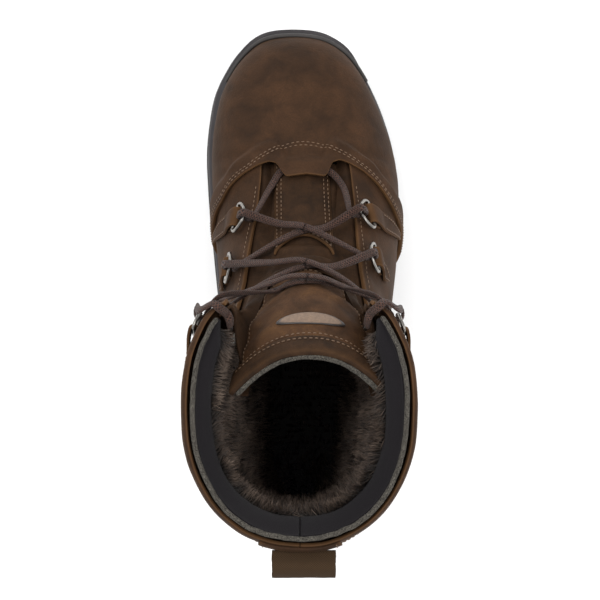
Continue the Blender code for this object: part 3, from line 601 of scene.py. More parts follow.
def quarterDepth(s, share, u, v, p):
    band = quarter["band"]
    puff = quarter["collarPuff"] * sin(pi * min(max((u - band) / (1 - band), 0), 1)) ** .7 * soft(0, .06, v)
    seam = -.5 * soft(.012, 0, abs(u - band))
    ankle = soft(10.5, 12.5, s) * soft(16.5, 14, s)
    folds = .9 * ankle * sin(s * 5.2 + 3.5 * share + 1.5 * ripple(p, 40, 4)) * soft(1, .55, share)
    return puff + seam + folds * soft(0, .1, v) + leatherWaver(p, 34, .6) - .4 * soft(.012, 0, v)


def quarterPoint(side, u, v, d=0.0):  # a point d above the quarter's face, and the way out there
    s, share = quarterPlace(side, u, v)
    p, n = on(s, share, side), normalOn(s, share, side)
    return p + n * (d + quarterDepth(s, share, u, v, p)), n


seams = [vampSeam(0), vampSeam(.115)]
for side in (1, -1):
    piece("quarterLeather" + sides[side], bentGrid(
        quarter["rows"], quarter["columns"], lambda u, v: quarterPoint(side, u ** .95, v ** 1.15)[0],
        wear=lambda u, v: .5 * soft(.02, 0, v) + .35 * soft(.985, 1, u) + .12 * soft(.05, 0, abs(u - .93))),
        "upper", node="quarter_" + nodeSides[side], slot="nubuck", thick=1.9, edge=.45)
    seams += [lambda f, side=side: quarterPoint(side, .10 + .88 * f, .028),
              lambda f, side=side: quarterPoint(side, quarter["band"] - .012, .02 + .96 * f)]
print("upper ready")

# ---- strips on the heel and the toe ----
heelCap = {"low": .312, "high": .612, "front": .53, "lift": 1.9, "seam": .955}
stay = {"low": .55, "front": 1 - .118, "lift": 1.7}


def capPoint(side, u, v, back=.999):
    low, high = heelCap["low"] + .10 * (1 - v) ** 2, heelCap["high"] - .05 * (1 - v) ** 2
    front = heelCap["front"]
    return quarterPoint(side, low + (high - low) * u, front + (back - front) * v, heelCap["lift"])


for side in (1, -1):
    piece("heelCap" + sides[side], bentGrid(40, 40, lambda u, v: capPoint(side, u, v)[0],
                                            wear=lambda u, v: .35 * soft(.06, 0, min(u, 1 - u, v))),
          "upper", node="heel_cap_" + nodeSides[side], slot="nubuck", thick=1.5, edge=.4)
    seams.append(lambda f, side=side: (capPoint(side, heelCap["seam"], .06 + .93 * f)[0],
                                       capPoint(side, heelCap["seam"], .06 + .93 * f, 1)[1]))


def backstayPlace(u, v):
    side, share = folded(v)
    low, front = stay["low"], stay["front"]
    return quarterPoint(side, low + (1 - low) * u, 1 + (front - 1) * share, stay["lift"])[0]


piece("backstayLeather", bentGrid(70, 24, backstayPlace, wear=lambda u, v: .3 * soft(.06, 0, min(v, 1 - v))),
      "upper", node="backstay", slot="nubuck", thick=1.3, edge=.35)
for side, edge in ((-1, .06), (1, .94)):
    seams.append(lambda f, side=side, edge=edge: (
        backstayPlace(.02 + .96 * f, edge), normalOn(*quarterPlace(side, stay["low"] + .45 * f, .9), side)))


def randPlace(u, v):  # rubber rand round the toe
    side, t = folded(u)
    rise = .4 + 8.4 * v
    d = 2.2 - 1.2 * soft(.8, 1, v)
    start = firstStation(d, rise) + .002
    s = start + (4.6 - start) * t ** 1.5
    return boot(s, footAngle(round(s, 3), side, d, round(rise, 3)), side, d)


piece("toeRand", bentGrid(80, 6, randPlace, Vector((0, 250, 35))), "outsole", node="toe_rand", slot="rubber",
      thick=1.9, edge=.5)
print("heel and toe ready")

# ---- tongue ----
tonguePuff = {"high": 3.2, "fold": .9}
# where the lower part ends along the tongue; where each of the others starts and how long it is
tongueParts = {"lowerEnd": .44, "flex": (.36, .225), "top": (.572, .365), "band": (.930, .070)}


def tongueNormal(q, v):
    return (tongue(q, v, 1) - tongue(q, v, 0)).normalized()


def lowerEnd(v):  # the lower panel ends in an arc
    return tongueParts["lowerEnd"] - .065 * (1 - v * v)


def tongueLowerPlace(u, v):
    w = 2 * v - 1
    q = lowerEnd(w) * u
    p = tongue(q, w)
    return tongue(q, w, .7 + .35 * ripple(p, 18, 3) - .7 * soft(.9, 1, abs(w)) + .5 * soft(.9, 1, u))


def tongueFlexPlace(u, v):
    w, q = 2 * v - 1, tongueParts["flex"][0] + tongueParts["flex"][1] * u
    p = tongue(q, w)
    fold = sin(q * 92 + 1.2 * w * w + 1.5 * ripple(p, 25, 5)) * soft(0, .3, u) * soft(1, .8, abs(w))
    return tongue(q, w, -1.3 + fold + 1.2 * soft(.8, 1, u) + .3 * ripple(p, 8, 6))


def tongueTopDepth(q, w):
    p = tongue(q, w)
    u = (q - .575) / .36
    puff = tonguePuff["high"] * max(sin(pi * min(max(u, 0), 1)), 0) ** .6 * (1 - abs(w) ** 2.6)
    fold = tonguePuff["fold"] * soft(.75, .1, u) * sin(q * 70 + 3 * ripple(p, 30, 7) + 1.6 * abs(w))
    fold += .8 * soft(.35, .9, abs(w)) * sin(q * 52 + 2 * w) * soft(1, .8, u)
    flat = 2.2 * soft(.76, .67, q) * soft(.2, .6, abs(w))
    return puff + fold + .5 * ripple(p, 14, 8) - .9 * soft(.93, 1, abs(w)) - flat


def topPoint(q, w, d=0.0):  # a point d above the top panel's face, and the way out there
    return tongue(q, w, tongueTopDepth(q, w) + d), tongueNormal(q, w)


def tongueTopPlace(u, v):
    q = tongueParts["top"][0] + tongueParts["top"][1] * u
    return topPoint(q, 2 * v - 1, -.8 * soft(.05, 0, u))[0]


def tongueBandPlace(u, v):  # a binding that rolls over the top edge
    w, face = 2 * v - 1, .6
    if u < face:
        q = tongueParts["band"][0] + tongueParts["band"][1] * u / face
        d = 1.0 + .5 * sin(pi * u / face)
    else:
        turn = pi / 2 * (u - face) / .4
        q, d = 1.0 + .014 * sin(turn), -1.4 + 2.4 * cos(turn)
    wave = .5 * ripple(tongue(min(q, 1), w), 16, 9)
    return tongue(q, w, d + wave)


tongueInside = Vector((0, 90, 60))
piece("tongueLowerPanel", bentGrid(50, 30, tongueLowerPlace, tongueInside, wear=lambda u, v: (
    .25 * soft(.05, 0, min(v, 1 - v)) + .3 * soft(.95, 1, u))),
      "tongue", node="tongue_lower", slot="tongue_nubuck", thick=1.5, edge=.35)
piece("tongueFlexPanel", bentGrid(44, 34, tongueFlexPlace, tongueInside), "tongue", node="tongue_flex",
      slot="tongue_nubuck", thick=1.2, edge=.3)
tongueTop = piece("tongueTopPanel", bentGrid(80, 64, tongueTopPlace, tongueInside,
                                             wear=lambda u, v: .25 * soft(.04, 0, min(v, 1 - v))),
                  "tongueTop", body="tongue_top", node="tongue_upper tongue_pad", slot="tongue_nubuck",
                  thick=1.3, edge=.35)
for side in (1, -1):  # the leather turned round the pad at each side
    piece("tongueEdge" + sides[side], bentGrid(60, 8, lambda u, v, side=side: tongue(
        .575 + .42 * u, side * (.955 + .035 * sin(pi * v)), -.7 - 7.9 * v - .4 * sin(30 * u) * sin(pi * v)),
        tongueInside), "tongue", body="tongue_top", slot="tongue_nubuck")
piece("tongueBinding", bentGrid(26, 60, tongueBandPlace, tongueInside,
                                wear=lambda u, v: .12 * soft(.25, 0, abs(u - .62))),
      "tongue", body="tongue_top", node="tongue_band", slot="tongue_nubuck", thick=1.1)


def tongueFeltPlace(u, v):
    a, w = 2 * pi * u, 1.96 * v - .98
    thin = min(1, min(v, 1 - v) / .01 + .05) ** .5
    p = tongue(1.0, w)
    r = 1.5 + .3 * ripple(p, 5, 44)
    return tongue(1.010 + .008 * sin(a) * thin, w, -3.0 + r * cos(a) * thin + .3 * ripple(p, 9, 45))


piece("tongueFeltEdge", bentGrid(12, 160, tongueFeltPlace, tongue(1.01, 0, -3.0), wrapped=True), "felt",
      body="tongue_top", node="tongue_felt", slot="felt")
piece("tongueFacing", bentGrid(20, 50, lambda u, v: tongue(
    1.004 - .13 * u, 1.94 * v - .97, -3.8 - 4.6 * soft(0, .6, u)), Vector((0, 215, 200)), size=(18, 75)),
      "facing", body="tongue_top", slot="black_cloth")

tongueSeams = []
for w in (-.88, -.74, .74, .88):
    tongueSeams.append(lambda f, w=w: (tongue((.02 + .93 * f) * lowerEnd(w), w, .9), tongueNormal(.3, w)))
for back in (.012, .032):
    tongueSeams.append(lambda f, back=back: (tongue(lowerEnd(1.8 * f - .9) - back, 1.8 * f - .9, 1.25),
                                             tongueNormal(.4, 1.8 * f - .9)))
topSeams = [lambda f: topPoint(.592, 1.9 * f - .95), lambda f: topPoint(.921, 1.9 * f - .95),
            lambda f: (tongue(.944, 1.9 * f - .95, 1.6), tongueNormal(.944, 1.9 * f - .95)),
            lambda f: topPoint(.60 + .32 * f, -.9), lambda f: topPoint(.60 + .32 * f, .9)]

label = {"q": .872, "w": .03, "halfQ": .022, "halfW": .47}


def labelPlace(u, v):
    a, r = 2 * pi * u, max(v, .02)
    q, w = label["q"] + label["halfQ"] * r * sin(a), label["w"] + label["halfW"] * r * cos(a)
    return tongue(q, w, tongueTopDepth(q, w) + .8 - .3 * soft(.9, 1, r))


piece("tongueLabel", bentGrid(64, 12, labelPlace, tongueInside, wrapped=True,
                              wear=lambda u, v: soft(.86, .9, v)), "label", body="tongue_top",
      node="tongue_patch", slot="patch", thick=.9, edge=.25)
piece("tongueStitches", scattered(stitchMesh, stitchRow(tongueSeams)), "thread", slot="tongue_nubuck")
piece("tongueTopStitches", scattered(stitchMesh, stitchRow(topSeams)), "thread", body="tongue_top",
      slot="tongue_nubuck")

# ---- gussets ----
for side in (1, -1):
    @lru_cache(maxsize=None)
    def gussetRow(u):
        q = 1.035 * u - .105
        f = max((q - .03) / .83, 0)
        near = tongue(q, side * .975, -2.0 - 1.6 * soft(.6, .9, q))
        s = 8.35 + (16.4 - 8.35) * f ** .9 + min(q - .03, 0) * 9 + 1.9 * soft(.78, .93, q)
        lower = (tongue(max(q - .08, 0), 0) - tongue(q, 0)).normalized() * 13 * soft(.66, .93, q)
        t = between(eyestay[side], s)
        tip = on(s, t - .005, side, -3.6 - .8 * f)
        far = on(s, t + .035, side, -3.4 - .4 * f)
        sink = outward(s, 60, side) * -1.4 * (1 - 2.4 * min(f, 1)) + lower
        return near, tip, far, sink

    def gussetPlace(u, v):
        near, tip, far, sink = gussetRow(round(u, 4))
        if v > .85:
            return tip.lerp(far, (v - .85) / .15)
        k = v / .85
        p = near.lerp(tip, k) + sink * sin(pi * k) ** 2
        fold = .9 * sin(pi * k) * sin(2.5 * pi * k + 2 * ripple(p, 22, 12) + 5 * u)
        return p + normalOn(10, .3, side) * fold
    gusset = piece("gusset" + sides[side], bentGrid(70, 26, gussetPlace, Vector((0, 100, 60))), "tongue",
                   body=None, node="gusset_" + nodeSides[side], slot="tongue_nubuck", thick=1.4, offset=0)
    start, top = tongue(shape["flex"], side * .975, -2.5), tongue(.9, side * .975, -3.5)
    climb = (top - start).normalized()
    inward = Vector((-side, 0, 0))
    inward = (inward - climb * inward.dot(climb)).normalized()
    toFrame(start)
    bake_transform(gusset)
print("tongue ready")


# ---- rings and their leather tabs ----
def frameOf(s, t, side, d):  # a point on layer d, with the ways along the boot, to the ridge and outward
    here = on(s, t, side, d)
    along = (on(s + .05, t, side, d) - on(s - .05, t, side, d)).normalized()
    out = normalOn(s, t, side)
    up = out.cross(along).normalized() * -side
    if (on(s, t - .02, side, d) - here).dot(up) < 0:
        up = -up
    third = up.cross(along).normalized()
    return here, along, up, third * (1 if third.dot(out) > 0 else -1)


tab = {"thick": 1.4, "inBar": 1.4, "taper": .62}
wrap = tab["inBar"] + tab["thick"] / 2
barUp = shape["gap"] + tab["thick"] / 2 + wrap
apex = {}
tabSeams = []
for number, (s, shares, width, long) in enumerate(ringPlaces, 1):
    for side in (1, -1):
        t0 = shares[side]
        path = [(8.0, 1.0), (4.0, 1.0), (0.0, 1.0)]
        path += [(-wrap * cos(radians(a)), barUp + wrap * sin(radians(a))) for a in (-45, 0, 45)]
        path += [(0.0, barUp + wrap), (4.0, barUp + wrap - .8), (8.0, 3.2), (12.0, 2.0)]
        path += [(12 + (long - 12) * k / 6, 1.5) for k in range(1, 7)]
        unit = (on(s, t0 + .02, side) - on(s, t0 - .02, side)).length / .04

        def tabPoint(f, across, lift=0, s=s, t0=t0, side=side, path=path, unit=unit, width=width, long=long):
            x, d = flowPoint(path, f * (len(path) - 1))
            narrow = 1 - tab["taper"] * soft(14, long, x) - .22 * soft(long - 3, long, x)
            t = t0 + x / unit
            reach = (on(s + .1, t, side) - on(s - .1, t, side)).length / .2
            return on(s + across * width * narrow / 2 / reach, t, side, d + lift), normalOn(s, t, side)
        piece(f"ringTab{number}{sides[side]}", bentGrid(90, 10, lambda u, v: tabPoint(u, 2 * v - 1)[0],
                                                        wear=lambda u, v: .45 * soft(.16, 0, abs(u - .3))
                                                        + .3 * soft(.1, 0, min(v, 1 - v))),
              "upper", node=f"ring_tab_{number}_{nodeSides[side]}", slot="nubuck", thick=tab["thick"],
              offset=0, edge=.25)
        for across in (-.72, .72):
            tabSeams.append(lambda f, across=across, tabPoint=tabPoint: tabPoint(.62 + .36 * f, across, .7))
        here, along, up, out = frameOf(s, t0, side, barUp)
        tilt = radians(9)
        reachWay = (up * cos(tilt) + out * sin(tilt)).normalized()
        normal = along.cross(reachWay).normalized()
        half, corner = shape["ringBar"] / 2, 2.2
        loop = [(-half + corner, 0), (-2, 0), (2, 0), (half - corner, 0), (half - .6, .6), (half, corner),
                (half * .95, corner + 2.2)]
        loop += [(half * .80 * cos(radians(a)), 5.2 + (shape["ringReach"] - 5.2) * sin(radians(a)))
                 for a in (22, 52, 78, 102, 128, 158)]
        loop += [(-half * .95, corner + 2.2), (-half, corner), (-half + .6, .6)]

        def wirePlace(u, v):
            def at(f):
                nearby = [loop[(int(floor(f)) + k) % len(loop)] for k in (-1, 0, 1, 2)]
                a, b = (cubic(*line, f - floor(f)) for line in zip(*nearby))
                return here + along * a + reachWay * b
            f = (v % 1) * len(loop)
            go = (at(f + .05) - at(f - .05)).normalized()
            sideways = go.cross(normal)
            return at(f) + (sideways * cos(2 * pi * u) + normal * sin(2 * pi * u)) * shape["wire"] / 2
        ringName = f"d_ring_{number}_{nodeSides[side]}"
        piece(f"dRing{number}{sides[side]}", bentGrid(12, 96, wirePlace, here + reachWay * 5, wrapped=True),
              "steel", body=ringName, node=ringName, slot="steel")
        apex[number, side] = (here + reachWay * shape["ringReach"], along, reachWay,
                              normal * (1 if normal.dot(out) > 0 else -1))
piece("tabStitches", scattered(stitchMesh, stitchRow(tabSeams, 2.6)), "thread", slot="nubuck")
piece("upperStitches", scattered(stitchMesh, stitchRow(seams)), "thread", slot="nubuck")

# ---- lace: the route of the solid, in lengths that each run by one ring ----
turnRadius = shape["wire"] / 2 + .75 + shape["laceClearance"] / 2
bridge, laceStep = 7.95, 1.3  # the station where the lace starts under the vamp, and its pieces' length in mm


def ringTurn(number, side):
    at, along, reachWay, out = apex[number, side]
    low = out * -turnRadius
    places = [at + reachWay * 7 + low * 1.1, at + reachWay * 2.5 + low]
    for a in map(radians, (0, 60, 120, 180)):
        places.append(at + (reachWay * -sin(a) + out * -cos(a)) * turnRadius)
    places += [at + reachWay * 2.5 - low, at + reachWay * 7 - low]
    return [(p, out, along) for p in places]


def overTongue(q, v, d):
    return tongue(q, v, d), tongueNormal(q, v), None


def overBoot(s, t, side, d, angle, facing=1):
    return on(s, t, side, d), outward(s, angle, side) * facing, None


def halfLace(side, high):  # from the bridge out to this side, then up; high lifts its strand at a crossing
    other = -side
    d1, d2, d3 = [2.4 + shape["laceClearance"] + .7 if h else 2.4 for h in high]
    run = [overBoot(bridge, .12 if side > 0 else .13, side, -1.1, 60), overBoot(8.6, .19, side, -.6, 55)]
    run += ringTurn(1, side)
    run += [overTongue(.328, side * .75, max(d1, 2.6)), overTongue(.360, 0, d1),
            overTongue(.397, other * .8, max(d1 - 1.2, 2.2))]
    run += ringTurn(2, other)
    run += [overTongue(.543, other * .8, max(d2, 2.8)), overTongue(.583, 0, d2),
            overTongue(.625, side * .8, max(d2 - 1, 3.5))]
    run += ringTurn(3, side)
    run += [overTongue(.68, side * .65, max(d3, 3.2) + 1), overTongue(.685, side * .3, d3 + 1.6),
            overTongue(.69, 0, d3 + 1.6), overTongue(.695, other * .3, d3 + 1.6),
            overTongue(.70, other * .65, d3 + 1.4)]
    run += [overBoot(17.2, between(eyestay[other], 17.2), other, 3.4, 50)] + ringTurn(4, other)[1:-1]
    t, up = between(eyestay[other], rim), Vector((0, 0, 1))
    return run + [overBoot(18.9, t + .040, other, 5.8, 45), overBoot(19.8, t + .012, other, 3.8, 50),
                  (on(rim, t + .008, other, -1.0) + up * 3.9, up, None),
                  overBoot(19.7, t + .006, other, -6.0, 50, -1),
                  overBoot(18.9, t + .010, other, -9.0, 50, -1),
                  overBoot(18.1, t + .020, other, -12.0, 50, -1)]


def laceFrames(course, spacing):  # centre, across and up along the course, with the index of each place
    knots = [p for p, _, _ in course]
    frames, before = [], None
    for i in range(len(knots) - 1):
        n = max(2, round((knots[i + 1] - knots[i]).length / spacing))
        for k in range(n + (i == len(knots) - 2)):
            f = k / n
            here, ahead, behind = (Vector(flowPoint(knots, at)) for at in (
                i + f, i + min(f + .05, 1), max(i + f - .05, 0)))
            go = (ahead - behind).normalized()
            a, b = course[i], course[i + 1]
            if a[2] is not None and b[2] is not None:
                across = a[2].copy()
            else:
                across = go.cross(a[1].lerp(b[1], f))
                if across.length < .35 and before is not None:
                    across = before
            if before is not None and across.dot(before) < 0:
                across = -across
            across = (across - go * across.dot(go)).normalized()
            if before is not None:
                across = across * .25 + before * .75
                across = (across - go * across.dot(go)).normalized()
            before = across
            frames.append((i + f, here, across, go.cross(across)))
    return frames


def lacePiece(name, frames, ring, start, end):  # one length, which runs by this ring; the ring is not used
    lengths = [0.0]
    for (_, a, _, _), (_, b, _, _) in zip(frames, frames[1:]):
        lengths.append(lengths[-1] + (b - a).length)

    def place(u, v):
        _, here, across, up = frames[int(round(v * (len(frames) - 1)))]
        a = 2 * pi * u
        flat = abs(cos(a)) ** .7 * (1 if cos(a) > 0 else -1)
        return here + across * shape["laceWidth"] / 2 * flat + up * shape["laceThick"] / 2 * sin(a)
    b = bentGrid(14, len(frames) - 1, place, frames[len(frames) // 2][1], wrapped=True,
                 size=(2 * shape["laceWidth"], lengths[-1]))
    bmesh.ops.recalc_face_normals(b, faces=b.faces)
    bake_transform(piece(name, b, "lace", body=None, node="lace", slot="cord"), "boot", ring, start=toFrame(start),
             end=toFrame(end))


laceEnds = {}
cuts = [0, 12, 23, 35, 43.5, 99]  # the lengths end at these places of the route
overRim = 45  # the place of the route just before the rim
for side, high in ((-1, (True, False, True)), (1, (False, True, False))):
    run = halfLace(side, high)
    frames = laceFrames([overBoot(bridge, 0, 1, -1.1, 90)] + run, laceStep)
    for k, (number, ringSide) in enumerate(((1, side), (2, -side), (3, side), (4, -side), (4, -side))):
        some = [f for f in frames if cuts[k] - .0001 <= f[0] <= cuts[k + 1]]
        some += [f for f in frames if f[0] > cuts[k + 1]][:1]
        at, _, reachWay, _ = apex[number, ringSide]
        start = run[overRim][0] if k == 4 else some[0][1].lerp(at, .1) if k else some[0][1]
        lacePiece(f"lace{sides[side]}{'ABCDE'[k]}", some, f"d_ring_{number}_{nodeSides[ringSide]}", start,
                  at + reachWay * 1.5)
    laceEnds[-side] = (frames[-1][1], frames[-2][1])
print("laces ready")

# ---- lace tips ----
for side in (1, -1):
    tip, before = laceEnds[side]
    down = ((tip - before).normalized() * .4 + Vector((0, 0, -1))).normalized()
    across = down.orthogonal().normalized()
    other = down.cross(across)

    def tipPlace(u, v):
        r = between([(0, .2), (.06, 1.25), (.9, 1.1), (.97, .8), (1, .1)], v)
        r += .12 * soft(.8, .5, v) * cos(6 * pi * u)
        at = tip + down * (.6 + 14 * between([(0, 0), (.06, .02), (.9, .93), (.97, .99), (1, 1)], v))
        return at + (across * cos(2 * pi * u) + other * sin(2 * pi * u)) * r
    piece("aglet" + sides[side], bentGrid(14, 24, tipPlace, tip + down * 7, wrapped=True), "film",
          node="aglet_" + nodeSides[side], slot="plastic")

# ---- collar: felt edge and cloth facing ----
collarEdge = {side: between(eyestay[side], rim) + .03 for side in (1, -1)}
backSeam = .9999  # the share at the heel, just short of the seam where the two sides meet


def collarShare(u):  # u from 0 at the medial tip, round the heel, to 1 at the lateral tip
    return (-1, collarEdge[-1] + (1 - collarEdge[-1]) * 2 * u) if u < .5 else (
        1, 1 - (1 - collarEdge[1]) * (2 * u - 1))


def feltPlace(u, v):
    side, t = collarShare(v)
    t = min(t, backSeam)
    a, ends = 2 * pi * u, min(1, (min(v, 1 - v) / .004 + .02)) ** .5
    p = on(rim, t, side)
    wave = .35 * ripple(p, 7, 21) + .5 * ripple(p, 26, 22)
    p = on(rim, t, side, -3.3 + (1.35 * cos(a) + wave) * ends)
    return p + Vector((0, 0, .4 + .9 + (1.3 * sin(a) + .4 * ripple(p, 3, 23)) * ends))


piece("collarFelt", bentGrid(14, 420, feltPlace, on(rim, .999, 1, -3.3) + Vector((0, 0, 1.3)), wrapped=True),
      "felt", node="collar_felt", slot="felt")


def liningDepth(s, side, t):  # the lining's depth below the outer face: the padding swells below the rim
    swell = soft(20.0, 18.5, s) * 9.0 * soft(0, .10, t - between(eyestay[side], s) - .02)
    deeper = 7.5 * soft(18.7, 16.2, s) * soft(.3, .6, t) * soft(9.5, 13.0, s)
    return -4.2 - swell - deeper + 3.0 * soft(13.5, 9.5, s)


for side in (1, -1):
    def facingPlace(u, v):
        t = collarEdge[side] + (backSeam - collarEdge[side]) * u
        s = rim - .02 - 1.5 * v
        return on(s, t, side, liningDepth(s, side, t) + .5 * ripple(on(s, t, side), 24, 25) * soft(0, .2, v))
    facing = bentGrid(110, 16, facingPlace, size=(170, 36), inward=True)
    piece("collarFacing" + sides[side], facing, "facing", slot="black_cloth", thick=.8,
                    node=f"collar_facing_{nodeSides[side]} collar_pad_{nodeSides[side]}")

# ---- fur ----
fur = {"long": 8.5, "wide": .85, "wallTufts": 10500, "toeTufts": 1200, "footTufts": 5200, "tongueTufts": 3200,
       "rootTufts": 1200, "wallTop": 18.62, "wallLow": 9.0}


def tuftBuild(b):  # a three-sided tuft, 1 long, bent to one side
    bmesh.ops.create_grid(b, x_segments=3, y_segments=3, size=.5)
    uv = b.loops.layers.uv.new("cloth")
    for f in b.faces:
        for loop in f.loops:
            loop[uv].uv = (loop.vert.co.x + .5, loop.vert.co.y + .5)
    for v in b.verts:
        a, k = 2 * pi * (v.co.x + .5), v.co.y + .5
        r = .5 * (1 - k) ** .8 + .03
        v.co = Vector((k - .12 * k * k, r * cos(a), r * sin(a) + .35 * k * k))
    bmesh.ops.recalc_face_normals(b, faces=b.faces)


tuftMesh = smallMesh("tuft", tuftBuild)
dice = random.Random(23)


def tufts(count, at, long=1.0):  # at(u, v) gives a root, the way out of the backing and the pile's lean
    places = []
    for _ in range(count):
        p, out, lean = at(dice.random(), dice.random())
        swirl = Vector((ripple(p, 16, 31), ripple(p, 16, 32), ripple(p, 16, 33)))
        stray = Vector((dice.gauss(0, 1), dice.gauss(0, 1), dice.gauss(0, 1)))
        go = out * .62 + lean * .62 + swirl * .95 + stray * .20
        if go.normalized().dot(out) < .25:
            go = go.normalized() + out * .35
        size = fur["long"] * long * (.75 + .45 * dice.random())
        places.append(axes(p, go.normalized(), out + stray * .3) @ Matrix.Diagonal((
            size * .001, fur["wide"] * .001 * (.8 + .5 * dice.random()), fur["wide"] * .001, 1)))
    return places


def furPiece(name, backing, places, **facts):
    b = scattered(tuftMesh, places)
    b.from_mesh(meshFrom("backing", backing))
    return piece(name, b, "fur", slot="fur", **facts)


def wallPoint(side, u, v):  # a point of the lining, and the way in from it
    t0 = max(between(eyestay[side], fur["wallTop"]), .2) + .05
    t = t0 + (backSeam - t0) * u
    s = fur["wallTop"] + (fur["wallLow"] - fur["wallTop"]) * v
    return on(s, t, side, liningDepth(s, side, t)), normalOn(s, t, side) * -1


def toePoint(u, v):
    side, t = folded(u)
    s = 2.2 + 6.2 * v
    return on(s, t, side, -9.0), normalOn(s, t, side) * -1


for side in (1, -1):
    backing = bentGrid(60, 60, lambda u, v: wallPoint(side, u, v)[0], size=(1, .25), inward=True)
    furPiece("furLining" + sides[side], backing, tufts(fur["wallTufts"], lambda u, v: (
        *wallPoint(side, u, v ** 1.6), Vector((0, 0, -.8)) + Vector((0, 0, soft(.06, 0, v ** 1.6))))),
        node="lining_" + nodeSides[side])
backing = bentGrid(60, 30, lambda u, v: toePoint(u, v)[0], Vector((0, 215, 45)), size=(1, .25), inward=True)
furPiece("furLiningVamp", backing, tufts(fur["toeTufts"], lambda u, v: (
    *toePoint(u, v), Vector((0, -.5, 0)))), node="lining_vamp")
for name, q0, q1, width, d, body, node, count in (
        ("tongueFurLower", 0, .52, .98, -4.2, "boot", "tongue_lining_lower", fur["rootTufts"]),
        ("tongueFurUpper", .585, .905, .96, -8.4, "tongue_top", "tongue_lining_upper", fur["tongueTufts"])):
    def tonguePoint(u, v):
        q, w = q0 + (q1 - q0) * u, width * (2 * v - 1)
        return tongue(q, w, d), tongueNormal(q, w) * -1
    backing = bentGrid(30, 24, lambda u, v: tonguePoint(u, v)[0], Vector((0, 215, 180)), size=(1, .25))
    furPiece(name, backing, tufts(count, lambda u, v: (
        *tonguePoint(u, v), Vector((0, 0, -.7))), .7), body=body, node=node)


# ---- sole ----
def outline(d, rise, count):  # rungs (h, inner x, outer x) across the foot on layer d
    start = firstStation(d, rise) + .002
    low, high = 10.0, 15.0
    for _ in range(20):
        middle = (low + high) / 2
        low, high = (middle, high) if footAngle(middle, 1, d, rise) > -89.7 else (low, middle)
    lines = {}
    for side in (-1, 1):
        line = []
        for k in range(121):
            f = (1 - cos(pi * k / 120)) / 2
            s = start + (low - start) * f ** 1.4
            q = boot(s, footAngle(round(s, 5), side, d, rise), side, d)
            line.append((q.y, q.x))
        lines[side] = sorted(line)
    first = (lines[1][0][0] + lines[-1][0][0]) / 2
    last = (lines[1][-1][0] + lines[-1][-1][0]) / 2
    rungs = []
    for k in range(count + 1):
        h = first + (last - first) * (1 - cos(pi * k / count)) / 2
        a, c = between(lines[-1], h), between(lines[1], h)
        if k in (0, count):
            a = c = (a + c) / 2
        rungs.append((h, a, c))
    return rungs


def slab(rungs, levels):  # levels of (margin, height by h), bottom first
    n, m, across = len(rungs) - 1, len(levels) - 1, 10
    columns = 2 * (across + m)

    def place(u, v):
        k = min(int(round(v * n)), n)
        h, a, c = rungs[k]
        wide = sin(pi * k / n) ** .5 if 0 < k < n else 0
        j = int(round(u * columns)) % columns
        if j <= across:
            level, f = 0, j / across
        elif j <= across + m:
            level, f = j - across, 1
        elif j <= 2 * across + m:
            level, f = m, 1 - (j - across - m) / across
        else:
            level, f = columns - j, 0
        margin, height = levels[level]
        out = margin(h) if callable(margin) else margin
        x0, x1 = a - out * wide, c + out * wide
        return Vector((x0 + (x1 - x0) * f, h + out * .5 * (2 * k / n - 1) ** 9, height(h)))
    return bentGrid(columns, n, place, Vector((0, 150, 20)), wrapped=True)


sole = {"margin": 4.6, "tuck": 2.6, "rungs": 220, "lugPitch": 13.0}
edge = [(h, a, c - sole["tuck"] * soft(297, 278, h) * soft(20, 45, h))
        for h, a, c in outline(sole["margin"], 0.0, sole["rungs"])]


def slabTop(h):
    return max(shape["lugDepth"] + shape["slab"], ground(h) + shape["slab"])


def rib(h, low, high):  # ribs on the sidewall of the outsole
    f = (h / sole["lugPitch"]) % 1
    return low + (high - low) * soft(.08, .2, f) * soft(.78, .66, f)


def wallAt(f):  # height at share f of the midsole's wall
    return lambda h: slabTop(h) + .3 + (soleTop(h) - slabTop(h) - .3) * f


b = slab(edge, [(margin, wallAt(f)) for margin, f in (
    (-.2, 0), (.9, .04), (1.2, .12), (.7, .25), (-.3, .33), (-.3, .40), (.8, .46), (1.0, .60), (.6, .80),
    (.1, .92), (-.7, 1))])
piece("midsoleWall", b, "midsole", node="midsole", slot="foam_rubber")
b = slab(edge, [
    (lambda h: rib(h, -2.4, .4), ground), (lambda h: rib(h, -1.6, 1.2), lambda h: ground(h) + .8),
    (lambda h: rib(h, .2, 2.0), lambda h: ground(h) + shape["lugDepth"] * .8),
    (1.4, lambda h: ground(h) + shape["lugDepth"]), (2.0, lambda h: slabTop(h) - 1.2),
    (1.7, lambda h: slabTop(h) - .3), (.8, slabTop)])
outsole = piece("outsoleTread", b, "outsole", node="outsole", slot="rubber")
halfLug = shape["lugDepth"] / 2
channels = []  # each channel's centre, half size and turn
for h in (25, 43, 61, 146, 165, 184, 203, 222, 241, 259, 276):
    for x, turn in ((-40, .22), (44, -.22)):
        channels.append(((x, h, ground(h) + halfLug - 1.5), (27, 2.4, halfLug + 1.5), turn))
for x in (-13.5, 17.0):
    for h0, h1 in ((4, 82), (142, 232)):
        channels.append(((x, (h0 + h1) / 2, halfLug - 1.4), (2.2, (h1 - h0) / 2, halfLug + 1.3), 0))
cutterMesh = bmesh.new()
for centre, half, turn in channels:
    bmesh.ops.create_cube(cutterMesh, size=2, matrix=(
        Matrix.Translation(toFrame(Vector(centre))) @ Matrix.Rotation(turn, 4, "Z")
        @ Matrix.Diagonal((half[0] * .001, half[1] * .001, half[2] * .001, 1))))
cutter = linked("channels", meshFrom("channels", cutterMesh))
cutter.hide_render = cutter.hide_viewport = True
cut = outsole.modifiers.new("Channels", "BOOLEAN")
cut.operation, cut.solver, cut.object, cut.use_self = "DIFFERENCE", "EXACT", cutter, True

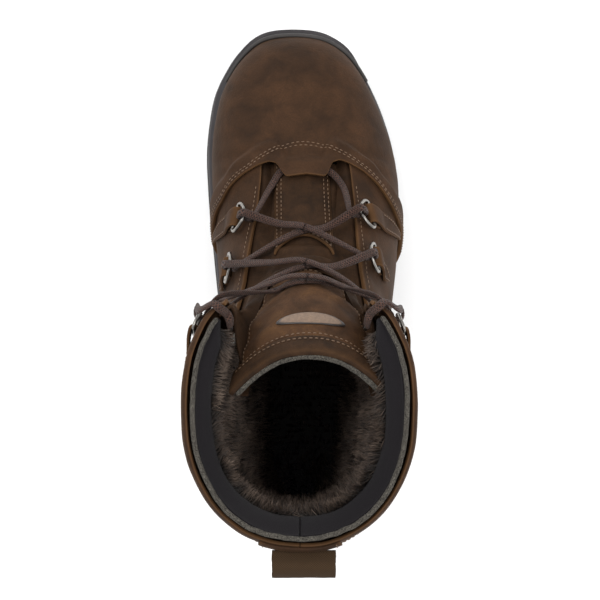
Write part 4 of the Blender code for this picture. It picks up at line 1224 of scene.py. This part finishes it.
# ---- footbed ----
bedRungs = 90
bed = outline(-12.3, 9.0, bedRungs)


def bedPlace(u, v):
    h, a, c = bed[int(round(v * bedRungs))]
    edgeRise = 2.6 * (2 * u - 1) ** 4 * soft(150, 60, h)
    return Vector((a + (c - a) * u, h, soleTop(h) + 6.6 + edgeRise))


backing = bentGrid(24, bedRungs, bedPlace, Vector((0, 150, 0)), size=(1, .3))
furPiece("footbedFur", backing, tufts(fur["footTufts"], lambda u, v: (
    bedPlace(u, v), Vector((0, 0, 1)), Vector((0, .7, 0))), .75), node="footbed")

# ---- pull loop ----
pull = {"half": shape["loopWidth"] / 2, "thick": 1.5}
seamPlace = Vector((2.0, 19.4 - .8 - 2.3, 206))
loopPath = [(0, 1.2), (-3, 1.9), (-6, 3.6), (-9, 4.3), (-11.5, 3.2), (-13.6, 1.3), (-14.3, 0), (-13.8, -1.5),
            (-12, -4.0), (-9, -5.6), (-6, -5.2), (-3, -3.0), (0, -1.2)]


def loopPlace(u, v):
    y, z = flowPoint(loopPath, v * (len(loopPath) - 1))
    x = pull["half"] * (2 * u - 1)
    bow = .5 * ripple(Vector((x, y * 2, z)), 9, 41) + .35 * ripple(Vector((x, y, z)), 4, 42)
    return seamPlace + Vector((x + .3 * ripple(Vector((y, z, x)), 3, 43), y + bow * .4 * soft(0, -5, y),
                               z + bow * soft(0, -5, y)))


piece("pullLoop", bentGrid(30, 90, loopPlace, seamPlace + Vector((0, -8, 0)), size=(33, 42),
                           wear=lambda u, v: .5 * soft(.06, 0, min(u, 1 - u))), "webbing", body="pull_loop",
      node="pull_loop", slot="webbing", thick=pull["thick"], edge=.3)
print("sole, fur and loop ready")

# ---- finishes of the solids that stay ----
kept = {"toe_puff": "board", "heel_counter_lateral": "board", "heel_counter_medial": "board",
        "insulation_vamp": "wadding", "insulation_lateral": "wadding", "insulation_medial": "wadding",
        "insole_board": "board", "shank": "steel"}
for name, finish in kept.items():
    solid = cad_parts[name]
    solid.data.materials.clear()
    solid.data.materials.append(finishes[finish])

# ---- floor, lights and camera ----
camera = linked("camera", bpy.data.cameras.new("camera"))
camera.location = toFrame(Vector((0, 145.5, 1540)))
camera.data.lens, camera.data.sensor_width = 155.0, 36.0
bpy.context.scene.camera = camera

floorMesh = bmesh.new()
bmesh.ops.create_grid(floorMesh, x_segments=1, y_segments=1, size=4.0)
bmesh.ops.translate(floorMesh, verts=floorMesh.verts, vec=(0, 0, -.0004))
floorPiece = linked("floor", meshFrom("floor", floorMesh))
floorPiece.data.materials.append(material("paperFloor", lambda tree: {
    "Base Color": linear("#f7f7f7"), "Roughness": .9}))

studio = {"key": (-.9, .6, 1.5, 1.2, 24.0), "fill": (1.1, -.1, 1.3, 1.2, 17.0),
          "back": (.1, -1.4, 1.1, 1.3, 14.0), "front": (0, 1.4, 1.2, 1.3, 12.0)}  # place, size and power
for name, (x, y, z, size, power) in studio.items():
    light = linked(name, bpy.data.lights.new(name, "AREA"))
    light.data.shape, light.data.size, light.data.energy = "SQUARE", size, power
    light.location = (x, y, z)
    light.rotation_euler = (Vector((0, 0, .1)) - light.location).to_track_quat("-Z", "Y").to_euler()
world = bpy.data.worlds.new("paleStudio")
world.use_nodes = True
world.node_tree.nodes["Background"].inputs["Color"].default_value = (1, 1, 1, 1)
world.node_tree.nodes["Background"].inputs["Strength"].default_value = .55
bpy.context.scene.world = world
bpy.context.scene.view_settings.view_transform = "Standard"
